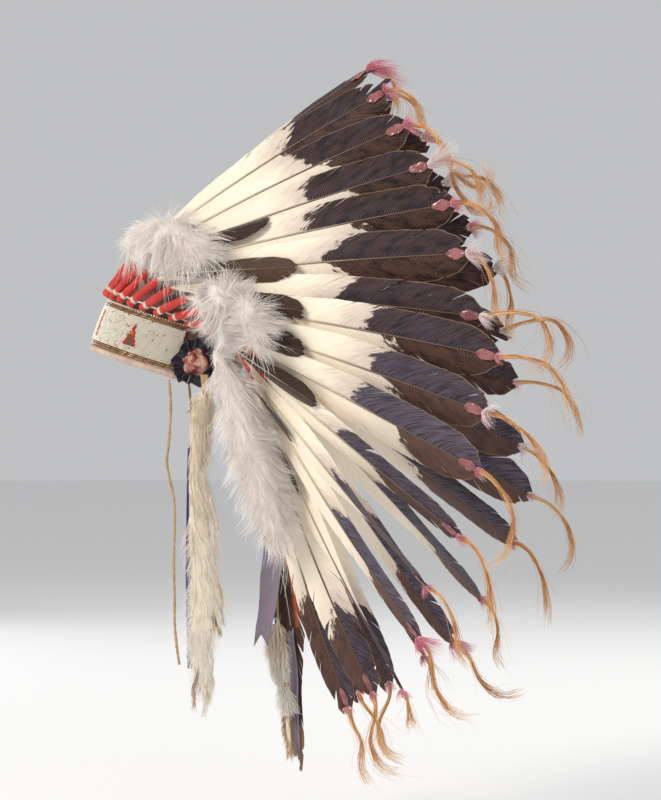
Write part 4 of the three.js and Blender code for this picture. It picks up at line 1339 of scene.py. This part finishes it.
# The rosettes: a pleated ruffle of dark silk, by share of its radius, height and depth of
# wave, about a crumpled dome of foil
rosetteProfile = ((0.44, 5.6, 0), (0.6, 6.1, 0.9), (0.8, 6.3, 2.0), (1, 6.6, 2.9))
dome = {"radius": 15.1, "out": 15, "depth": 7, "back": 1.4, "broad": 0.20, "fine": 0.10}


def addRosette(sideName, side):
    seat, before, after = (offCap(side * (rosette["angle"] + step), rosette["height"], 0)
                           for step in (0, -2, 2))
    ahead, up = unit(after - before), onHead((0, 0, 1))
    out = unit(np.cross(ahead, up))
    out = out * np.sign(out[0] * side)

    def ruffle(around, along):
        turn = around * fullTurn
        share, height, wave = alongRows(rosetteProfile, along).T
        pleat = np.cos(rosette["pleats"] * turn + 1.5 * np.sin(3 * turn) + 1.2 * along)
        fine = np.cos(29 * turn + 2 * np.sin(4 * turn)) * (1 - along) * 0.5
        radius = rosette["radius"] * share * (1 + 0.05 * np.cos(3 * turn + 1)
                                              + 0.05 * along * np.cos(7 * turn + 2)
                                              + 0.05 * along * pleat)
        lift = height + wave * pleat + fine + 0.3 * wave * np.sin(5 * turn) + rosette["out"]
        return ringed(seat + out * lift[:, None], ahead, up, turn, radius)
    sheet = laidGrid("ruffle", 320, 14, ruffle, closed=True, thick=rosette["wall"])
    piece = addPiece(f"silkRosette_{sideName}", [(sheet, "silk")],
                     f"rosette_{sideName}")
    mesh = ballMesh(48, 32)
    points = pointsOf(mesh)
    broad, fine = (np.abs(drift(points * 10, size, seed)[:, :1]) - 0.4
                   for size, seed in ((3.6, 9), (1.7, 4)))
    points = points * (1 + dome["broad"] * broad + dome["fine"] * fine)
    depth = np.where(points[:, 2] > 0, dome["depth"], dome["back"])
    movePoints(mesh, (seat + out * (dome["out"] - dome["depth"] + points[:, 2] * depth)[:, None]
                      + (ahead * points[:, :1] + up * points[:, 1:2]) * dome["radius"]) * mm)
    if side < 0:
        mesh.flip_normals()
    addPiece(f"foilDome_{sideName}", [(mesh, "foil")],
             f"rosette_centre_{sideName}")


for sideName, side in sides.items():
    addRosette(sideName, side)
print("rosettes pleated")

# The fur drops and the tail: y, z and half sizes along y and x. A drop hangs at its own x,
# with its strip of cloth on one side of it, moved along y on the right.
furs = {"thick": 0.27, "strands": 3000, "length": (9, 20), "shrink": 2.2, "stations": 3,
        "legStrands": 260, "legLength": (4, 9)}
hangs = {"left": (77, 1, 0), "right": (-66, -1, -21)}
hanger = {"from": (30, -110), "to": (33, -134), "half": 4.5, "thick": 1.4}
ermineRows = ((28, -129, 3, 3), (26, -140, 11, 7), (24, -163, 12, 7), (20, -203, 8.5, 6),
              (19, -238, 9, 6), (23, -273, 13, 7), (26, -313, 14, 8), (27, -353, 15, 8),
              (30, -381, 19, 7), (24, -413, 13, 7), (26, -443, 11, 6), (29, -462, 7, 5),
              (30, -472, 3, 2.5))
ermineLegs = ((((31, -255), (38, -278), (41, -293)), 3, "fur"),
              (((21, -440), (19, -462), (19, -482)), 2.6, "furTan"),
              (((31, -462), (32, -478), (30, -492)), 3.6, "fur"),
              (((40, -375), (45, -390), (46, -398)), 2.2, "furTan"))
furTail = {"x": 1.5, "thick": 0.25, "white": (4600, (5, 12), 930, 1.5),
           "tan": (1200, (5, 11), 935, 0.9), "bound": (-465, -466.5, -468)}
furTailRows = ((102, -396, 4, 4), (100, -408, 9, 5.5), (101, -428, 11, 6), (104, -450, 9, 6),
               (108, -466, 5, 4.5), (111, -482, 8, 6), (113, -497, 7, 5), (114, -520, 4, 4),
               (116, -544, 2, 2))
neckRows = ((90, -243), (99, -333), (102, -398))


def furMesh(core, count, length, thick, seed, fluff=0.55):
    rng = np.random.default_rng(seed)
    spots, outward = scatterOn(core, count, rng)
    lean = drift(spots, 16, seed)
    heading = unit(outward * fluff + np.array((0, 0, -1.0)) + lean * (0.2 + 0.45 * fluff))
    reach = rng.uniform(*length, count)
    paths, along = grown(spots - outward, heading, reach, furs["stations"])
    paths = paths + np.array((0, 0, -0.25)) * reach[:, None, None] * along ** 2
    paths = paths + drift(paths, 7, seed + 1) * along * 2
    return strandMesh("fur", paths, thick * np.linspace(1, 0.35, furs["stations"]), seed)


# A soft core along a table of rows, oval in section
def furCore(rows, x, shift, seed):
    def shape(around, along):
        y, z, halfY, halfX = alongRows(rows, along).T
        turn = around * fullTurn
        lump = 1 + 0.07 * np.sin(3 * turn + 21 * along + seed) + 0.05 * np.sin(44 * along)
        halfX, halfY = ((half - furs["shrink"] * smoothStep(half, 2, 5)) * lump
                        for half in (halfX, halfY))
        return np.stack([x + halfX * np.cos(turn), y + shift + halfY * np.sin(turn), z], -1)
    return laidGrid("core", 14, 60, shape, closed=True, capped=True)


def addErmine(sideName):
    x, _, shift = hangs[sideName]
    seed = 900 + (sideName == "right")
    core = furCore(ermineRows, x, shift, seed)
    parts = [(core, "furCore"),
             (furMesh(core, furs["strands"], furs["length"], furs["thick"], seed), "fur")]
    for k, (leg, radius, look) in enumerate(ermineLegs):
        leg = alongRows([(x + 2, y + shift, z) for y, z in leg], shares(8))
        limb = tube("leg", leg, radius * 0.7 * np.linspace(1, 0.5, 8), upright=(1, 0, 0))
        hair = furMesh(limb, furs["legStrands"], furs["legLength"], furs["thick"],
                       seed + 20 + k)
        parts += [(limb, "furCore"), (hair, look)]
    (topY, topZ), (lowY, lowZ) = hanger["from"], hanger["to"]

    def tab(across, along):
        bow = 1.2 * np.sin(math.pi * along)
        return np.stack([x + (2 + bow) * np.sign(x), mix(topY, lowY, along) + shift
                         + (2 * across - 1) * hanger["half"], mix(topZ, lowZ, along)], -1)
    parts.append((laidGrid("hanger", 4, 10, tab, thick=hanger["thick"]), "thong"))
    addPiece(f"whiteFur_{sideName}", parts, f"ermine_{sideName}")


def addFurTail():
    x, parts = furTail["x"], [(furCore(furTailRows, furTail["x"], 0, 5), "furCore")]
    for key, rows, coreSeed, look in (("white", furTailRows[:7], 5, "fur"),
                                      ("tan", furTailRows[6:], 6, "furTan")):
        count, length, seed, fluff = furTail[key]
        parts.append((furMesh(furCore(rows, x, 0, coreSeed), count, length, furTail["thick"],
                              seed, fluff), look))
    neck = alongRows([(x, y, z) for y, z in neckRows], shares(10))
    parts.append((tube("neck", neck, 1.3, 6, upright=(1, 0, 0)), "thong"))
    for z in furTail["bound"]:
        ring = [(x + 5.5 * math.cos(turn), 108 + 7 * math.sin(turn), z)
                for turn in shares(13) * fullTurn]
        parts.append((tube("binding", ring, 0.6, 5), "thong"))
    addPiece("furTail_left", parts, "fur_tail")


for sideName in sides:
    addErmine(sideName)
addFurTail()
print("fur hung")

# Hanging strips of cloth, by y, z and half width. fold and ripple give their section.
cloth = {"thick": 0.5, "blueAside": 12, "blueShift": 3, "behind": 8, "behindFrom": (-414, -394)}
blueRows = ((9, -193, 3.5), (7.5, -273, 3.5), (7, -353, 3.5), (9, -443, 3.5))
broadRows = ((87, -225, 6), (89, -255, 8), (98.5, -303, 12), (94, -343, 11.5),
             (90, -383, 10), (83, -409, 8))
narrowRows = ((88, -229, 3), (103, -303, 2.5), (115, -403, 3), (118, -453, 5.5),
              (119, -493, 5.5), (123, -550, 3))


def clothStrip(rows, x, fold, ripple, notch=0.0, across=10):
    def shape(share, run):
        side = 2 * share - 1
        y, z, half = alongRows(rows, run).T
        crease = fold * np.abs(side) - fold / 2
        wave = ripple * np.sin(run * 17 + side * 1.3) + 0.5 * ripple * np.sin(run * 41 + 2)
        drop = -notch * (np.abs(side) ** 1.2) * smoothStep(run, 0.86, 1)
        return np.stack([x + crease + wave, y + side * half, z + drop], -1)
    return laidGrid("strip", across, 90, shape, thick=cloth["thick"])


for sideName, (x, way, shift) in hangs.items():
    rows = np.array(blueRows) + (shift + cloth["blueShift"], 0, 0)
    mesh = clothStrip(rows, x - cloth["blueAside"] * way, 3.6, 0.6)
    piece = addPiece(f"blueStrip_{sideName}", [(mesh, "blueCloth")],
                     f"blue_strip_{sideName}")

broad = addPiece("ribbonBroad", [(clothStrip(broadRows, 9, 1.2, 1.0, 14, 14), "ribbon")],
                 "ribbon_broad")

# The narrow ribbon's upper part hangs behind the dark feather
mesh = clothStrip(narrowRows, -6, 2.4, 1.2, 0, 8)
points = pointsOf(mesh)
points[:, 0] -= cloth["behind"] * mm * smoothStep(points[:, 2] / mm, *cloth["behindFrom"])
narrow = addPiece("ribbonNarrow", [(movePoints(mesh, points), "ribbon")],
                  "ribbon_narrow")
print("ribbons hung")
